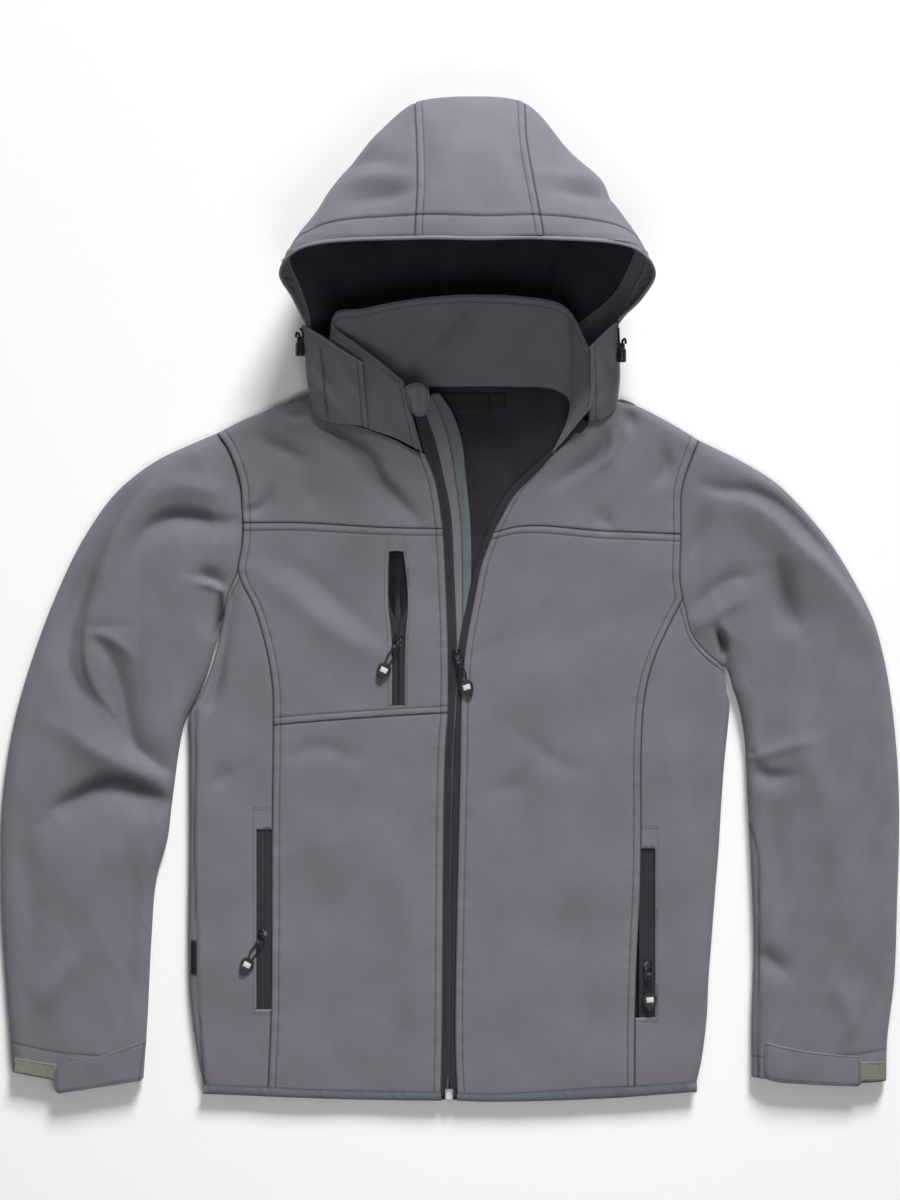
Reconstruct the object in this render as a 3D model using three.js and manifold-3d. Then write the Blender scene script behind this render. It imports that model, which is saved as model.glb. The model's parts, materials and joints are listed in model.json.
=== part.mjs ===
// Hooded softshell jacket, size M, lying on its back with the hood standing open.
// Millimetres, +Z up. The origin lies under the middle of the back, on the surface the jacket
// rests on; +Y runs towards the hood and +X to the wearer's left.
// Right and left in the names are the wearer's, so the right side is at negative X.

import * as THREE from 'three';
import Module from 'manifold-3d';
import { mergeVertices } from 'three/addons/utils/BufferGeometryUtils.js';

const wasm = await Module();
wasm.setup();

// Cloth and seams
const clothWall = 1.6;
const seamGap = 0.3;
const layGap = 0.35;
const armholeTuck = 2.4;

// How high the laid cloth stands
const torsoLoft = 12;
const sleeveLoft = 15;
const edgeMeet = 6;
const torsoRoll = 10;
const sleeveRoll = 13;
const neckRise = 0.33;
const neckLine = 145;
const neckBend = 40;

// Zips, in the sizes of a number 5 coil zip
const sliderLength = 13;
const sliderWidth = 9;
const sliderBody = 2.6;
const bridgeWidth = 1.4;
const bridgeLength = 7;
const bridgeHeight = 3;
const pullBar = 1;
const tabLength = 13;
const gripLength = 18;
const gripWidth = 14;
const gripThick = 2.2;

const grey = 0x74737b;
const black = 0x1d1c20;
const bluegrey = 0x5f6770;

const V = (x, y, z = 0) => new THREE.Vector3(x, y, z);
const points = (rows) => rows.map(([x, y, z]) => V(x, y, z));
const plan = ({ x, y }) => [x, y];
const lerp = (a, b, t) => a + (b - a) * t;
const clamp01 = (t) => Math.min(1, Math.max(0, t));

const part = new THREE.Group();

function addPiece(name, geometry, color, roughness = 0.85, metalness = 0) {
  const material = new THREE.MeshStandardMaterial({ color, roughness, metalness });
  const mesh = new THREE.Mesh(geometry, material);
  mesh.name = name;
  part.add(mesh);
}

// Evenly spaced points on a smooth curve through the given ones
function along(rows, steps) {
  const curve = new THREE.CatmullRomCurve3(points(rows), false, 'centripetal');
  curve.arcLengthDivisions = 400;
  return Array.from({ length: steps + 1 }, (_, i) => curve.getPointAt(i / steps));
}

// Points at given shares of the length of a line of points
function atShares(line, shares) {
  const curve = new THREE.CatmullRomCurve3(line, false, 'centripetal');
  curve.arcLengthDivisions = 400;
  return shares.map((share) => curve.getPointAt(share));
}

const even = (steps) => Array.from({ length: steps + 1 }, (_, i) => i / steps);
const reversed = (line) => [...line].reverse();

// A net of points between four border lines. Rows run up from bottom to top, columns from
// left to right, and the columns stand at the given shares of the width.
function net(bottom, top, left, right, shares) {
  const rows = left.length - 1;
  return left.map((leftPoint, r) => {
    const v = r / rows;
    return shares.map((u, c) => {
      const across = leftPoint.clone().lerp(right[r], u);
      const bow = bottom[c].clone().sub(bottom[0].clone().lerp(bottom.at(-1), u)).multiplyScalar(1 - v);
      const topBow = top[c].clone().sub(top[0].clone().lerp(top.at(-1), u)).multiplyScalar(v);
      return across.add(bow).add(topBow);
    });
  });
}

// Distance from a place to a line of points, seen from above, and how far along it that is
function nearest(line, x, y) {
  let best = { distance: Infinity, share: 0 };
  for (let i = 0; i < line.length - 1; i += 1) {
    const a = line[i];
    const b = line[i + 1];
    const dx = b.x - a.x;
    const dy = b.y - a.y;
    const t = clamp01(((x - a.x) * dx + (y - a.y) * dy) / (dx * dx + dy * dy));
    const distance = Math.hypot(x - a.x - dx * t, y - a.y - dy * t);
    if (distance < best.distance) best = { distance, share: (i + t) / (line.length - 1) };
  }
  return best;
}

// Folds, as a soft ridge (height above 0) or trough along a bent line
const foldRows = (rows) => rows.map(([from, via, to, width, height]) => {
  const curve = new THREE.QuadraticBezierCurve3(V(...from), V(...via), V(...to));
  return { line: curve.getPoints(8), width, height };
});

function foldHeight(folds, x, y) {
  return folds.reduce((sum, { line, width, height }) => {
    const { distance, share } = nearest(line, x, y);
    const ends = Math.sin(Math.PI * (0.08 + 0.84 * share));
    return sum + height * ends * Math.exp(-((distance / width) ** 2));
  }, 0);
}

// Rounded share of a rise over an edge roll: 0 at the edge, 1 where the roll ends
const rolled = (distance, roll) => Math.sin((Math.PI / 2) * clamp01(distance / roll));

const raise = (grid, heightAt) => grid.map((row) => row.map((p) => V(p.x, p.y, heightAt(p.x, p.y))));

// A wall as two nets: the outer face and the inner face one thickness inside it
function wall(outer, thickness, side) {
  const lastRow = outer.length - 1;
  const lastCol = outer[0].length - 1;
  const inner = outer.map((row, r) => row.map((p, c) => {
    const du = outer[r][Math.min(c + 1, lastCol)].clone().sub(outer[r][Math.max(c - 1, 0)]);
    const dv = outer[Math.min(r + 1, lastRow)][c].clone().sub(outer[Math.max(r - 1, 0)][c]);
    const normal = du.cross(dv).normalize().multiplyScalar(side * thickness);
    return p.clone().sub(normal);
  }));
  return { outer, inner, side };
}

const columns = ({ outer, inner, side }, first, last) => ({
  outer: outer.map((row) => row.slice(first, last + 1)),
  inner: inner.map((row) => row.slice(first, last + 1)),
  side,
});

// Draws the border of a net in by a gap
function drawIn(grid, gaps) {
  const step = (p, q, gap) => p.clone().add(q.clone().sub(p).setLength(gap));
  const sides = grid.map((row) => {
    const line = [...row];
    if (gaps.left) line[0] = step(row[0], row[1], gaps.left);
    if (gaps.right) line[row.length - 1] = step(row.at(-1), row.at(-2), gaps.right);
    return line;
  });
  const out = [...sides];
  if (gaps.bottom) out[0] = sides[0].map((p, c) => step(p, sides[1][c], gaps.bottom));
  if (gaps.top) out[out.length - 1] = sides.at(-1).map((p, c) => step(p, sides.at(-2)[c], gaps.top));
  return out;
}

const halfGap = seamGap / 2;
const topEdge = edgeMeet + halfGap + clothWall;
const underEdge = edgeMeet - halfGap - clothWall;
const allRound = { left: halfGap, right: halfGap, bottom: halfGap, top: halfGap };

function trimmed({ outer, inner, side }, gaps = allRound) {
  return { outer: drawIn(outer, gaps), inner: drawIn(inner, gaps), side };
}

// One closed body from the two nets of a wall
function solidWall({ outer, inner, side }) {
  const rows = outer.length;
  const cols = outer[0].length;
  const all = [...outer.flat(), ...inner.flat()];
  const offset = rows * cols;
  const index = [];
  const quad = (a, b, c, d) => {
    if (side > 0) index.push(a, b, c, a, c, d);
    else index.push(a, c, b, a, d, c);
  };
  const at = (r, c) => r * cols + c;
  for (let r = 0; r < rows - 1; r += 1) {
    for (let c = 0; c < cols - 1; c += 1) {
      quad(at(r, c), at(r, c + 1), at(r + 1, c + 1), at(r + 1, c));
      quad(offset + at(r, c), offset + at(r + 1, c), offset + at(r + 1, c + 1), offset + at(r, c + 1));
    }
  }
  for (let c = 0; c < cols - 1; c += 1) {
    quad(at(0, c + 1), at(0, c), offset + at(0, c), offset + at(0, c + 1));
    quad(at(rows - 1, c), at(rows - 1, c + 1), offset + at(rows - 1, c + 1), offset + at(rows - 1, c));
  }
  for (let r = 0; r < rows - 1; r += 1) {
    quad(at(r, 0), at(r + 1, 0), offset + at(r + 1, 0), offset + at(r, 0));
    quad(at(r + 1, cols - 1), at(r, cols - 1), offset + at(r, cols - 1), offset + at(r + 1, cols - 1));
  }
  const geometry = new THREE.BufferGeometry();
  const flat = all.flatMap((p) => [p.x, p.y, p.z]);
  geometry.setAttribute('position', new THREE.Float32BufferAttribute(flat, 3));
  geometry.setIndex(index);
  return geometry;
}

function toSolid(geometry) {
  const bare = geometry.clone();
  bare.deleteAttribute('normal');
  bare.deleteAttribute('uv');
  const merged = mergeVertices(bare, 1e-4);
  return new wasm.Manifold(new wasm.Mesh({
    numProp: 3,
    vertProperties: new Float32Array(merged.attributes.position.array),
    triVerts: new Uint32Array(merged.index.array),
  }));
}

function toGeometry(solid) {
  const mesh = solid.getMesh();
  const geometry = new THREE.BufferGeometry();
  geometry.setAttribute('position', new THREE.Float32BufferAttribute(mesh.vertProperties, 3));
  geometry.setIndex(new THREE.BufferAttribute(new Uint32Array(mesh.triVerts), 1));
  return geometry;
}

const joined = (geometries) => toGeometry(geometries.map(toSolid).reduce((a, b) => a.add(b)));
const cut = (geometry, ...tools) => {
  const whole = toSolid(geometry);
  return toGeometry(tools.map(toSolid).reduce((a, b) => a.subtract(b), whole));
};

function prism(outline, low, high) {
  const shape = new THREE.Shape(outline.map(([x, y]) => new THREE.Vector2(x, y)));
  const geometry = new THREE.ExtrudeGeometry(shape, { depth: high - low, bevelEnabled: false });
  return geometry.translate(0, 0, low);
}

function plate(outline, thickness, bevel) {
  const shape = new THREE.Shape(outline.map(([x, y]) => new THREE.Vector2(x, y)));
  const depth = thickness - 2 * bevel;
  const geometry = new THREE.ExtrudeGeometry(shape, {
    depth, bevelSize: bevel, bevelThickness: bevel, bevelSegments: 1,
  });
  return geometry.translate(0, 0, -depth / 2);
}

// Seam lines of the body, from the shoulder down

const armholeRight = along([[-233, 167], [-222, 151], [-213, 129], [-209, 112], [-208, 92], [-207, 75],
  [-208, 54], [-211, 39], [-213, 27], [-218, 16], [-222, 5], [-227, -16]], 12);
const armholeLeft = along([[249, 160], [238, 132], [233, 116], [231, 103], [231, 62], [230, 40],
  [230, 20], [233, 0], [236, -12], [241, -32], [253, -49], [273, -66]], 15);
const yokeAtRight = 6;
const princessAtRight = 9;
const yokeAtLeft = 6;
const princessAtLeft = 10;

const sideRight = along([[-227, -16], [-232, -42], [-242, -76], [-252, -98], [-261, -116], [-261, -150],
  [-261, -250], [-262, -340], [-261, -390], [-258, -420], [-252, -460], [-247, -485]], 18);
const sideLeft = along([[273, -66], [275, -78], [277, -90], [280, -103], [279, -120], [275, -160],
  [272, -200], [269, -250], [265, -300], [262, -340], [259, -380], [257, -420], [252, -460], [247, -482]], 18);

const shoulderRight = [[-233, 167], [-208, 180], [-188, 188], [-163, 198], [-140, 205]];
const neckRight = [[-129, 190], [-113, 179], [-90, 173], [-78, 169], [-55, 160], [-36, 150], [-25, 146]];
const neckLeft = [[100, 142], [122, 162], [139, 172], [152, 178], [160, 190]];
const shoulderLeft = [[168, 200], [188, 194], [214, 181], [233, 170], [249, 160]];

const topFrontRight = [...shoulderRight, ...neckRight];
const topFrontLeft = [...neckLeft, ...shoulderLeft];

const princessRight = along([plan(armholeRight[princessAtRight]), [-208, 16],
  [-197, -5], [-188, -32], [-182, -57], [-178, -83], [-177, -100], [-177, -150], [-178, -230],
  [-179, -413], [-182, -488]], 26);
const princessLeft = along([plan(armholeLeft[princessAtLeft]), [218, -28],
  [206.5, -53], [199, -75], [193.6, -105], [191, -150], [191, -227], [190, -290], [187, -355],
  [185, -417], [184.6, -487]], 26);
const pocketSeamAt = 8;

const yokeSeamRight = [plan(armholeRight[yokeAtRight]), [-150, 77], [-70, 72.5], [-7, 71]];
const yokeSeamLeft = [[43, 67], [67, 73], [90, 74], [150, 69], [200, 67], plan(armholeLeft[yokeAtLeft])];
const pocketSeam = [plan(princessRight[pocketSeamAt]), [-150, -123], [-70, -117], [-2, -113]];
const hemRight = [plan(princessRight.at(-1)), [-150, -490], [-90, -492], [-9, -493]];
const hemLeft = [[7, -494], [40, -495], [150, -488.6], plan(princessLeft.at(-1))];

// Front edges at the zip, from the collar down
const edgeRightYoke = along([[-25, 146], [-15, 120], [-11, 100], [-7, 71]], 5);
const edgeRightChest = along([[-7, 71], [-5, 34], [-2, -49], [-2, -113]], 11);
const edgeRightLower = along([[-2, -113], [-5, -160], [-8, -440], [-9, -493]], 16);
const edgeLeftYoke = along([[100, 142], [87, 127], [64, 104], [50, 80], [43, 67]], 5);
const edgeLeftLower = along([[43, 67], [31, 34], [24, 0], [15, -50], [11, -104], [10, -160], [5, -440],
  [7, -494]], 30);

// The largest folds: from, via, to, half width, height
const torsoFolds = foldRows([
  [[-138, 200], [-153, 182], [-166, 172], 9, 4],
  [[-188, 160], [-168, 150], [-143, 140], 11, -3],
  [[-98, 158], [-60, 112], [-37, 86], 12, -4],
  [[-208, 88], [-188, 95], [-180, 112], 9, -2.5],
  [[163, 190], [166, 176], [175, 160], 10, 3.5],
  [[216, 150], [211, 132], [201, 115], 13, -4],
  [[-166, -162], [-130, -144], [-98, -159], 9, -2.5],
  [[-60, -260], [-30, -330], [-50, -430], 26, 2],
  [[120, -20], [70, -110], [90, -230], 30, 2],
  [[-120, 40], [-90, -20], [-110, -90], 26, 2],
]);
const sleeveFoldsRight = foldRows([
  [[-276, 144], [-370, 59], [-357, -94], 15, 5.5],
  [[-212, 84], [-300, 96], [-340, 14], 11, -4.5],
  [[-366, -28], [-340, -34], [-312, -32], 9, -3.5],
  [[-358, -42], [-325, -140], [-278, -176], 13, -4.5],
  [[-368, -202], [-330, -198], [-298, -184], 15, -3],
  [[-300, -165], [-350, -250], [-392, -340], 20, 3],
  [[-374, -352], [-392, -380], [-410, -412], 14, 3],
  [[-320, -250], [-318, -330], [-326, -420], 18, -2],
]);
const sleeveFoldsLeft = foldRows([
  [[252, 112], [285, 110], [322, 104], 12, -4],
  [[285, 104], [365, 60], [424, -42], 18, 5],
  [[318, 24], [330, -2], [352, -34], 17, -4.5],
  [[246, -20], [270, 16], [312, 20], 10, -4],
  [[296, -154], [306, -166], [322, -176], 10, -4],
  [[304, -168], [322, -152], [342, -144], 9, 3],
  [[330, -90], [380, -200], [400, -330], 22, 3],
  [[310, -350], [322, -362], [338, -374], 12, -3],
]);

const bodyEdges = [sideRight, sideLeft, points(shoulderRight), points(shoulderLeft)];
const edgeDistance = (x, y) => Math.min(...bodyEdges.map((line) => nearest(line, x, y).distance));

function frontHeight(x, y) {
  const roll = rolled(edgeDistance(x, y), torsoRoll);
  return lerp(topEdge, torsoLoft, roll) + foldHeight(torsoFolds, x, y) * roll;
}

const backHeight = (x, y) => underEdge * (1 - rolled(edgeDistance(x, y), torsoRoll));

// Body panels

function frontPanel(name, bottom, top, left, right, shares, gaps = allRound) {
  const flat = net(atShares(points(bottom), shares), atShares(points(top), shares), left, right, shares);
  return { name, shell: trimmed(wall(raise(flat, frontHeight), clothWall, 1), gaps) };
}

const addCloth = ({ name, shell }, ...tools) => {
  const geometry = solidWall(shell);
  addPiece(name, tools.length ? cut(geometry, ...tools) : geometry, grey);
};

// Cutters reach from under the cloth to well over it
const cutterLow = -5;
const cutterHigh = 40;
const box = (x0, x1, y0, y1) => prism([[x0, y0], [x1, y0], [x1, y1], [x0, y1]], cutterLow, cutterHigh);

const chestSlot = [[-59, -107], [-45, -107], [-44, -40], [-41.5, -8], [-43, 25], [-46, 49], [-62, 49],
  [-63, 25], [-62.5, -8], [-60, -30], [-59, -50]];
const handZipRight = { x0: -194.5, x1: -178.4, y0: -410, y1: -229 };
const handZipLeft = { x0: 191, x1: 206, y0: -418, y1: -248 };
// The openings are cut through to the princess seams
const throughRight = 6;
const throughLeft = 12;

addCloth(frontPanel('front_yoke_right', yokeSeamRight, topFrontRight,
  reversed(armholeRight.slice(0, yokeAtRight + 1)),
  atShares(reversed(edgeRightYoke), even(yokeAtRight)), even(14)));

addCloth(
  frontPanel('chest_panel_right', pocketSeam, yokeSeamRight,
    [...reversed(princessRight.slice(0, pocketSeamAt + 1)),
      ...reversed(armholeRight.slice(yokeAtRight, princessAtRight))],
    reversed(edgeRightChest), even(9)),
  prism(chestSlot, cutterLow, cutterHigh),
);

addCloth(frontPanel('front_lower_right', hemRight, pocketSeam,
  reversed(princessRight.slice(pocketSeamAt)), atShares(reversed(edgeRightLower), even(18)), even(9)));

addCloth(frontPanel('front_yoke_left', yokeSeamLeft, topFrontLeft,
  atShares(reversed(edgeLeftYoke), even(yokeAtLeft)),
  reversed(armholeLeft.slice(0, yokeAtLeft + 1)), even(14)));

addCloth(frontPanel('front_left', hemLeft, yokeSeamLeft, reversed(edgeLeftLower),
  [...reversed(princessLeft), ...reversed(armholeLeft.slice(yokeAtLeft, princessAtLeft))], even(9)));

const sideShares = [0, 0.03, 0.09, 0.2, 0.5, 1];
const fromLeftEdge = sideShares;
const fromRightEdge = sideShares.map((share) => 1 - share).reverse();
const asRows = (line) => line.map(plan);

addCloth(
  frontPanel('side_front_right', [[-247, -485], [-215, -487], [-182, -488]],
    asRows(reversed(armholeRight.slice(princessAtRight))),
    atShares(reversed(sideRight), even(26)), reversed(princessRight), fromLeftEdge),
  box(handZipRight.x0, handZipRight.x1 + throughRight, handZipRight.y0, handZipRight.y1),
);

addCloth(
  frontPanel('side_front_left', [[184.6, -487], [215, -485], [247, -482]],
    asRows(armholeLeft.slice(princessAtLeft)),
    reversed(princessLeft), atShares(reversed(sideLeft), even(26)), fromRightEdge),
  box(handZipLeft.x0 - throughLeft, handZipLeft.x1, handZipLeft.y0, handZipLeft.y1),
);

const backShares = [0, 0.008, 0.022, 0.06, 0.2, 0.35, 0.5, 0.65, 0.8, 0.94, 0.978, 0.992, 1];
const backTop = [...shoulderRight, [-118, 208], [-90, 212], [-30, 214], [50, 214], [110, 212],
  [140, 207], ...shoulderLeft];
const backHem = [[-247, -485], [-150, -490], [-60, -493], [60, -493], [150, -488], [247, -482]];
{
  const left = [...reversed(sideRight), ...reversed(armholeRight).slice(1)];
  const right = [...atShares(reversed(sideLeft), even(15)), ...reversed(armholeLeft).slice(1)];
  const flat = net(atShares(points(backHem), backShares), atShares(points(backTop), backShares),
    left, right, backShares);
  addCloth({ name: 'back_panel', shell: trimmed(wall(raise(flat, backHeight), clothWall, -1)) });
}

// Hem binding, folded round the raw edge: one strip on each front and one on the back
const bindingLines = [
  ['hem_binding_right', [[-247, -486], [-182, -489], [-150, -491], [-90, -493], [-9, -494]],
    [[-247, -494], [-150, -498], [-90, -500], [-9, -501]], frontHeight, 1, 12],
  ['hem_binding_left', [[7, -495], [40, -496], [150, -489.6], [185, -488], [247, -483]],
    [[7, -501], [40, -502], [150, -499], [247, -492]], frontHeight, 1, 12],
  ['hem_binding_back',
    [[-247, -485.5], [-150, -490.5], [-60, -493.5], [60, -493.5], [150, -488.5], [247, -482.5]],
    [[-247, -494], [-150, -498], [-60, -501], [60, -501], [150, -499], [247, -492]], backHeight, -1, 16],
];
for (const [name, upper, lower, heightAt, side, steps] of bindingLines) {
  const bottom = along(lower, steps);
  const top = along(upper, steps);
  const ends = (i) => [bottom[i], top[i]];
  const flat = net(bottom, top, ends(0), ends(steps), even(steps));
  addPiece(name, solidWall(trimmed(wall(raise(flat, heightAt), clothWall, side))), bluegrey);
}

// Sleeves: an upper and an under piece each, from the armhole to the cuff

const sleeves = [
  {
    side: 'right',
    armhole: armholeRight,
    capSteps: 9,
    outer: [[-233, 167], [-250, 160], [-293, 140], [-321, 120], [-341, 100], [-368, 60], [-388, 20],
      [-412, -40], [-436, -120], [-448, -200], [-450, -260], [-449, -320], [-445, -380], [-438, -472]],
    inner: [[-227, -17], [-234, -43], [-244, -77], [-254, -99], [-265, -121], [-270, -142], [-278, -200],
      [-283, -240], [-294, -280], [-299, -340], [-303, -420], [-307, -479]],
    cuff: [[-438, -472], [-395, -479], [-350, -480], [-307, -479]],
    folds: sleeveFoldsRight,
  },
  {
    side: 'left',
    armhole: armholeLeft,
    capSteps: 12,
    outer: [[249, 160], [290, 140], [323, 120], [345, 100], [379, 60], [404, 20], [424, -20], [435, -60],
      [442, -100], [448, -160], [450, -220], [448, -300], [445, -380], [438, -440], [437, -481]],
    inner: [[275.5, -66], [280, -76], [283, -88], [288, -102], [292, -120], [295, -140], [298, -200],
      [301, -260], [304, -350], [302, -420], [302, -477]],
    cuff: [[437, -481], [395, -483], [345, -481], [302, -477]],
    folds: sleeveFoldsLeft,
  },
];
const sleeveShares = [0, 0.04, 0.1, 0.22, 0.36, 0.5, 0.64, 0.78, 0.9, 0.96, 1];
const sleeveSteps = 21;
const capBlend = 30;
const sleeveGaps = { right: 1.7, bottom: 1.9 };

const sleeveTops = {};

for (const { side, armhole, capSteps, outer, inner, cuff, folds } of sleeves) {
  const handed = side === 'right' ? 1 : -1;
  const cap = armhole.slice(0, capSteps + 1);
  const underarm = asRows(armhole.slice(capSteps, -1));
  const outerLine = along(outer, sleeveSteps);
  const innerLine = along([...underarm, ...inner], sleeveSteps);
  const freeEdges = [outerLine, points(inner)];
  const flat = net(atShares(cap, sleeveShares), atShares(points(cuff), sleeveShares),
    outerLine, innerLine, sleeveShares);
  const edge = (x, y) => Math.min(...freeEdges.map((line) => nearest(line, x, y).distance));
  const upperHeight = (x, y) => {
    const roll = rolled(edge(x, y), sleeveRoll);
    const away = clamp01(nearest(armhole, x, y).distance / capBlend);
    const loft = lerp(torsoLoft - armholeTuck, sleeveLoft, away) + foldHeight(folds, x, y) * away;
    return lerp(topEdge, loft, roll);
  };
  const underHeight = (x, y) => underEdge * (1 - rolled(edge(x, y), sleeveRoll));
  const upper = wall(raise(flat, upperHeight), clothWall, -handed);
  const under = wall(raise(flat, underHeight), clothWall, handed);
  addCloth({ name: `sleeve_upper_${side}`, shell: trimmed(upper, sleeveGaps) });
  addCloth({ name: `sleeve_under_${side}`, shell: trimmed(under, sleeveGaps) });
  sleeveTops[side] = upperHeight;
}

// A small piece of cloth or trim laid between two lines, at a height over what carries it
function laidPiece(name, bottom, top, rows, cols, heightAt, thickness, color) {
  const low = along(bottom, cols);
  const high = along(top, cols);
  const left = along([bottom[0], top[0]], rows);
  const right = along([bottom.at(-1), top.at(-1)], rows);
  const flat = net(low, high, left, right, even(cols));
  addPiece(name, solidWall(wall(raise(flat, heightAt), thickness, 1)), color);
}

const patchWall = 1;
const cuffs = [
  ['right', [[-394, -493], [-352, -487], [-308, -480]], [[-394, -465], [-348, -455], [-303, -439]],
    [[-435, -472], [-397, -479]], [[-435, -457], [-397, -463]]],
  ['left', [[315, -478], [324, -481], [360, -484], [410, -486]],
    [[315, -441], [335, -446], [362, -451], [410, -456]],
    [[413, -481], [434, -480]], [[413, -461], [434, -461]]],
];
for (const [side, tabLow, tabHigh, patchLow, patchHigh] of cuffs) {
  const flatTop = (x, y) => Math.max(sleeveTops[side](x, y), sleeveLoft);
  const over = (thickness) => (x, y) => flatTop(x, y) + layGap + thickness;
  laidPiece(`cuff_tab_${side}`, tabLow, tabHigh, 2, 8, over(clothWall), clothWall, grey);
  laidPiece(`cuff_patch_${side}`, patchLow, patchHigh, 1, 3, over(patchWall), patchWall, 0x7d8276);
}

// Collar: a doubled band from the right zip end round the back to the left zip end.
// Each row gives its foot on the neck seam and its upper edge.
const collarWall = 2.4;
// The front edge rises towards the collar, softly at first
const neckLift = (y) => {
  const past = Math.max(0, y - neckLine);
  return neckRise * (past < neckBend ? past ** 2 / (2 * neckBend) : past - neckBend / 2);
};
const collarRows = [
  { foot: [-27, 148, 13], edge: [-45, 216, 36] },
  { foot: [-54, 162, 13], edge: [-66, 234, 39] },
  { foot: [-80, 171, 13], edge: [-92, 254, 41] },
  { foot: [-108, 182, 13.5], edge: [-114, 271, 44] },
  { foot: [-122, 198, 10], edge: [-112, 284, 46] },
  { foot: [-108, 209, 7], edge: [-88, 287, 46] },
  { foot: [-70, 212, 5], edge: [-42, 296, 45] },
  { foot: [0, 213, 5], edge: [10, 301, 44] },
  { foot: [60, 213, 5], edge: [75, 299, 45] },
  { foot: [104, 210, 7], edge: [112, 290, 46] },
  { foot: [118, 200, 9], edge: [130, 262, 45] },
  { foot: [117, 182, 12], edge: [141, 228, 40] },
  { foot: [101, 146, 13], edge: [140, 190, 30] },
];
{
  const steps = 24;
  const foot = along(collarRows.map((row) => row.foot), steps);
  const edge = along(collarRows.map((row) => row.edge), steps);
  const rows = even(3).map((v) => foot.map((p, i) => p.clone().lerp(edge[i], v)));
  addPiece('collar', solidWall(wall(rows, collarWall, 1)), grey);
}

// Hood: a centre panel and two side panels. Each row is one section from the brim backwards;
// each place is [half width, y, height] from the middle line, and lean shifts seam and crown.
const hoodMiddle = 17;
const neckShift = -6;
const hoodLeast = 0.4;
const hoodSections = [
  { lean: 11, crown: [349, 142], seam: [62, 350, 138], temple: [163, 343, 108], side: [183, 321, 88],
    cheek: [171, 297, 75], neck: [155, 275, 60] },
  { lean: 8, crown: [403, 126], seam: [57, 402, 122], temple: [146, 376, 92], side: [172, 345, 66],
    cheek: [164, 306, 54], neck: [152, 268, 44] },
  { lean: 4, crown: [449, 102], seam: [54, 447, 98], temple: [115, 421, 74], side: [145, 386, 46],
    cheek: [150, 320, 28], neck: [146, 262, 24] },
  { lean: 2, crown: [496, 56], seam: [54, 491, 54], temple: [86, 461, 46], side: [122, 410, 22],
    cheek: [130, 330, 8], neck: [134, 256, 8] },
  { lean: 0, crown: [480, 0], seam: [48, 476, 0], temple: [76, 446, 0], side: [102, 398, 0],
    cheek: [106, 330, 0], neck: [106, 250, 0] },
  { lean: 0, crown: [398, 0], seam: [40, 394, 0], temple: [60, 374, 0], side: [73, 338, 0],
    cheek: [76, 290, 0], neck: [74, 228, 0] },
  { lean: 0, crown: [301, 0], seam: [30, 298, 0], temple: [37, 286, 0], side: [41, 268, 0],
    cheek: [43, 248, 0], neck: [46, 217, 0] },
  { lean: 0, crown: [215, 0], seam: [22, 215, 0], temple: [25, 215, 0], side: [28, 215, 0],
    cheek: [31, 215, 0], neck: [34, 215, 0] },
];
const places = ['neck', 'cheek', 'side', 'temple', 'seam'];

function smoothNet(rows, rowSteps, colSteps) {
  const through = (line, steps) => new THREE.CatmullRomCurve3(line, false, 'centripetal').getPoints(steps);
  const wide = rows.map((row) => through(row, colSteps));
  const cols = wide[0].map((_, c) => through(wide.map((row) => row[c]), rowSteps));
  return Array.from({ length: rowSteps + 1 }, (_, r) => cols.map((line) => line[r]));
}

const hoodNet = smoothNet(hoodSections.map((section) => {
  const half = (sign) => places.map((place) => {
    const [out, y, z] = section[place];
    const shifts = { seam: section.lean, neck: neckShift };
    const lean = shifts[place] ?? 0;
    return V(hoodMiddle + lean + sign * out, y, z);
  });
  const crown = V(hoodMiddle + section.lean, ...section.crown);
  return [...half(-1), crown, ...half(1).reverse()];
}), 14, 20).map((row) => row.map((p) => V(p.x, p.y, Math.max(0, p.z))));

const hoodShell = wall(hoodNet, clothWall, 1);
hoodShell.inner = hoodShell.inner.map((row) => row.map((p) => V(p.x, p.y, Math.max(hoodLeast, p.z))));
const seamColumn = 8;
const lastColumn = 20;
const hoodPanels = [
  ['hood_side_right', 0, seamColumn],
  ['hood_centre', seamColumn, lastColumn - seamColumn],
  ['hood_side_left', lastColumn - seamColumn, lastColumn],
];
for (const [name, first, last] of hoodPanels) {
  addCloth({ name, shell: trimmed(columns(hoodShell, first, last)) });
}

// Binding round the brim, carried on from the hood's first row
const brimBinding = 4;
{
  const ahead = ([first, second], reach) => first.map((p, c) => {
    const forwards = p.clone().sub(second[c]).setLength(reach);
    return forwards.add(p);
  });
  const rows = (face) => [ahead(face, brimBinding), ahead(face, 2 * seamGap)];
  const binding = { outer: rows(hoodShell.outer), inner: rows(hoodShell.inner), side: 1 };
  addPiece('hood_binding', solidWall(binding), bluegrey);
}

// Lower fronts of the hood, which close over the collar
const hoodNecks = [
  ['right', [[-141, 210, 9], [-135, 184, 15.5], [-118, 176, 17.5], [-89, 173, 18], [-81, 170, 18]],
    [[-142, 262, 42], [-146, 270, 54], [-127, 260, 52], [-106, 246, 49], [-86, 234, 45]]],
  ['left',
    [[141, 178, 15.9], [153, 180, 14.9], [165, 190, 12.9], [168, 212, 8], [158, 224, 5], [142, 226, 3]],
    [[146, 238, 47], [154, 250, 50], [165, 268, 54], [163, 258, 42], [151, 247, 24], [138, 243, 11]]],
];
for (const [side, low, high] of hoodNecks) {
  const steps = 10;
  const foot = along(low, steps);
  const edge = along(high, steps);
  const rows = even(6).map((v) => foot.map((p, i) => p.clone().lerp(edge[i], v)));
  addPiece(`hood_neck_${side}`, solidWall(wall(rows, clothWall, 1)), grey);
}

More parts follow.
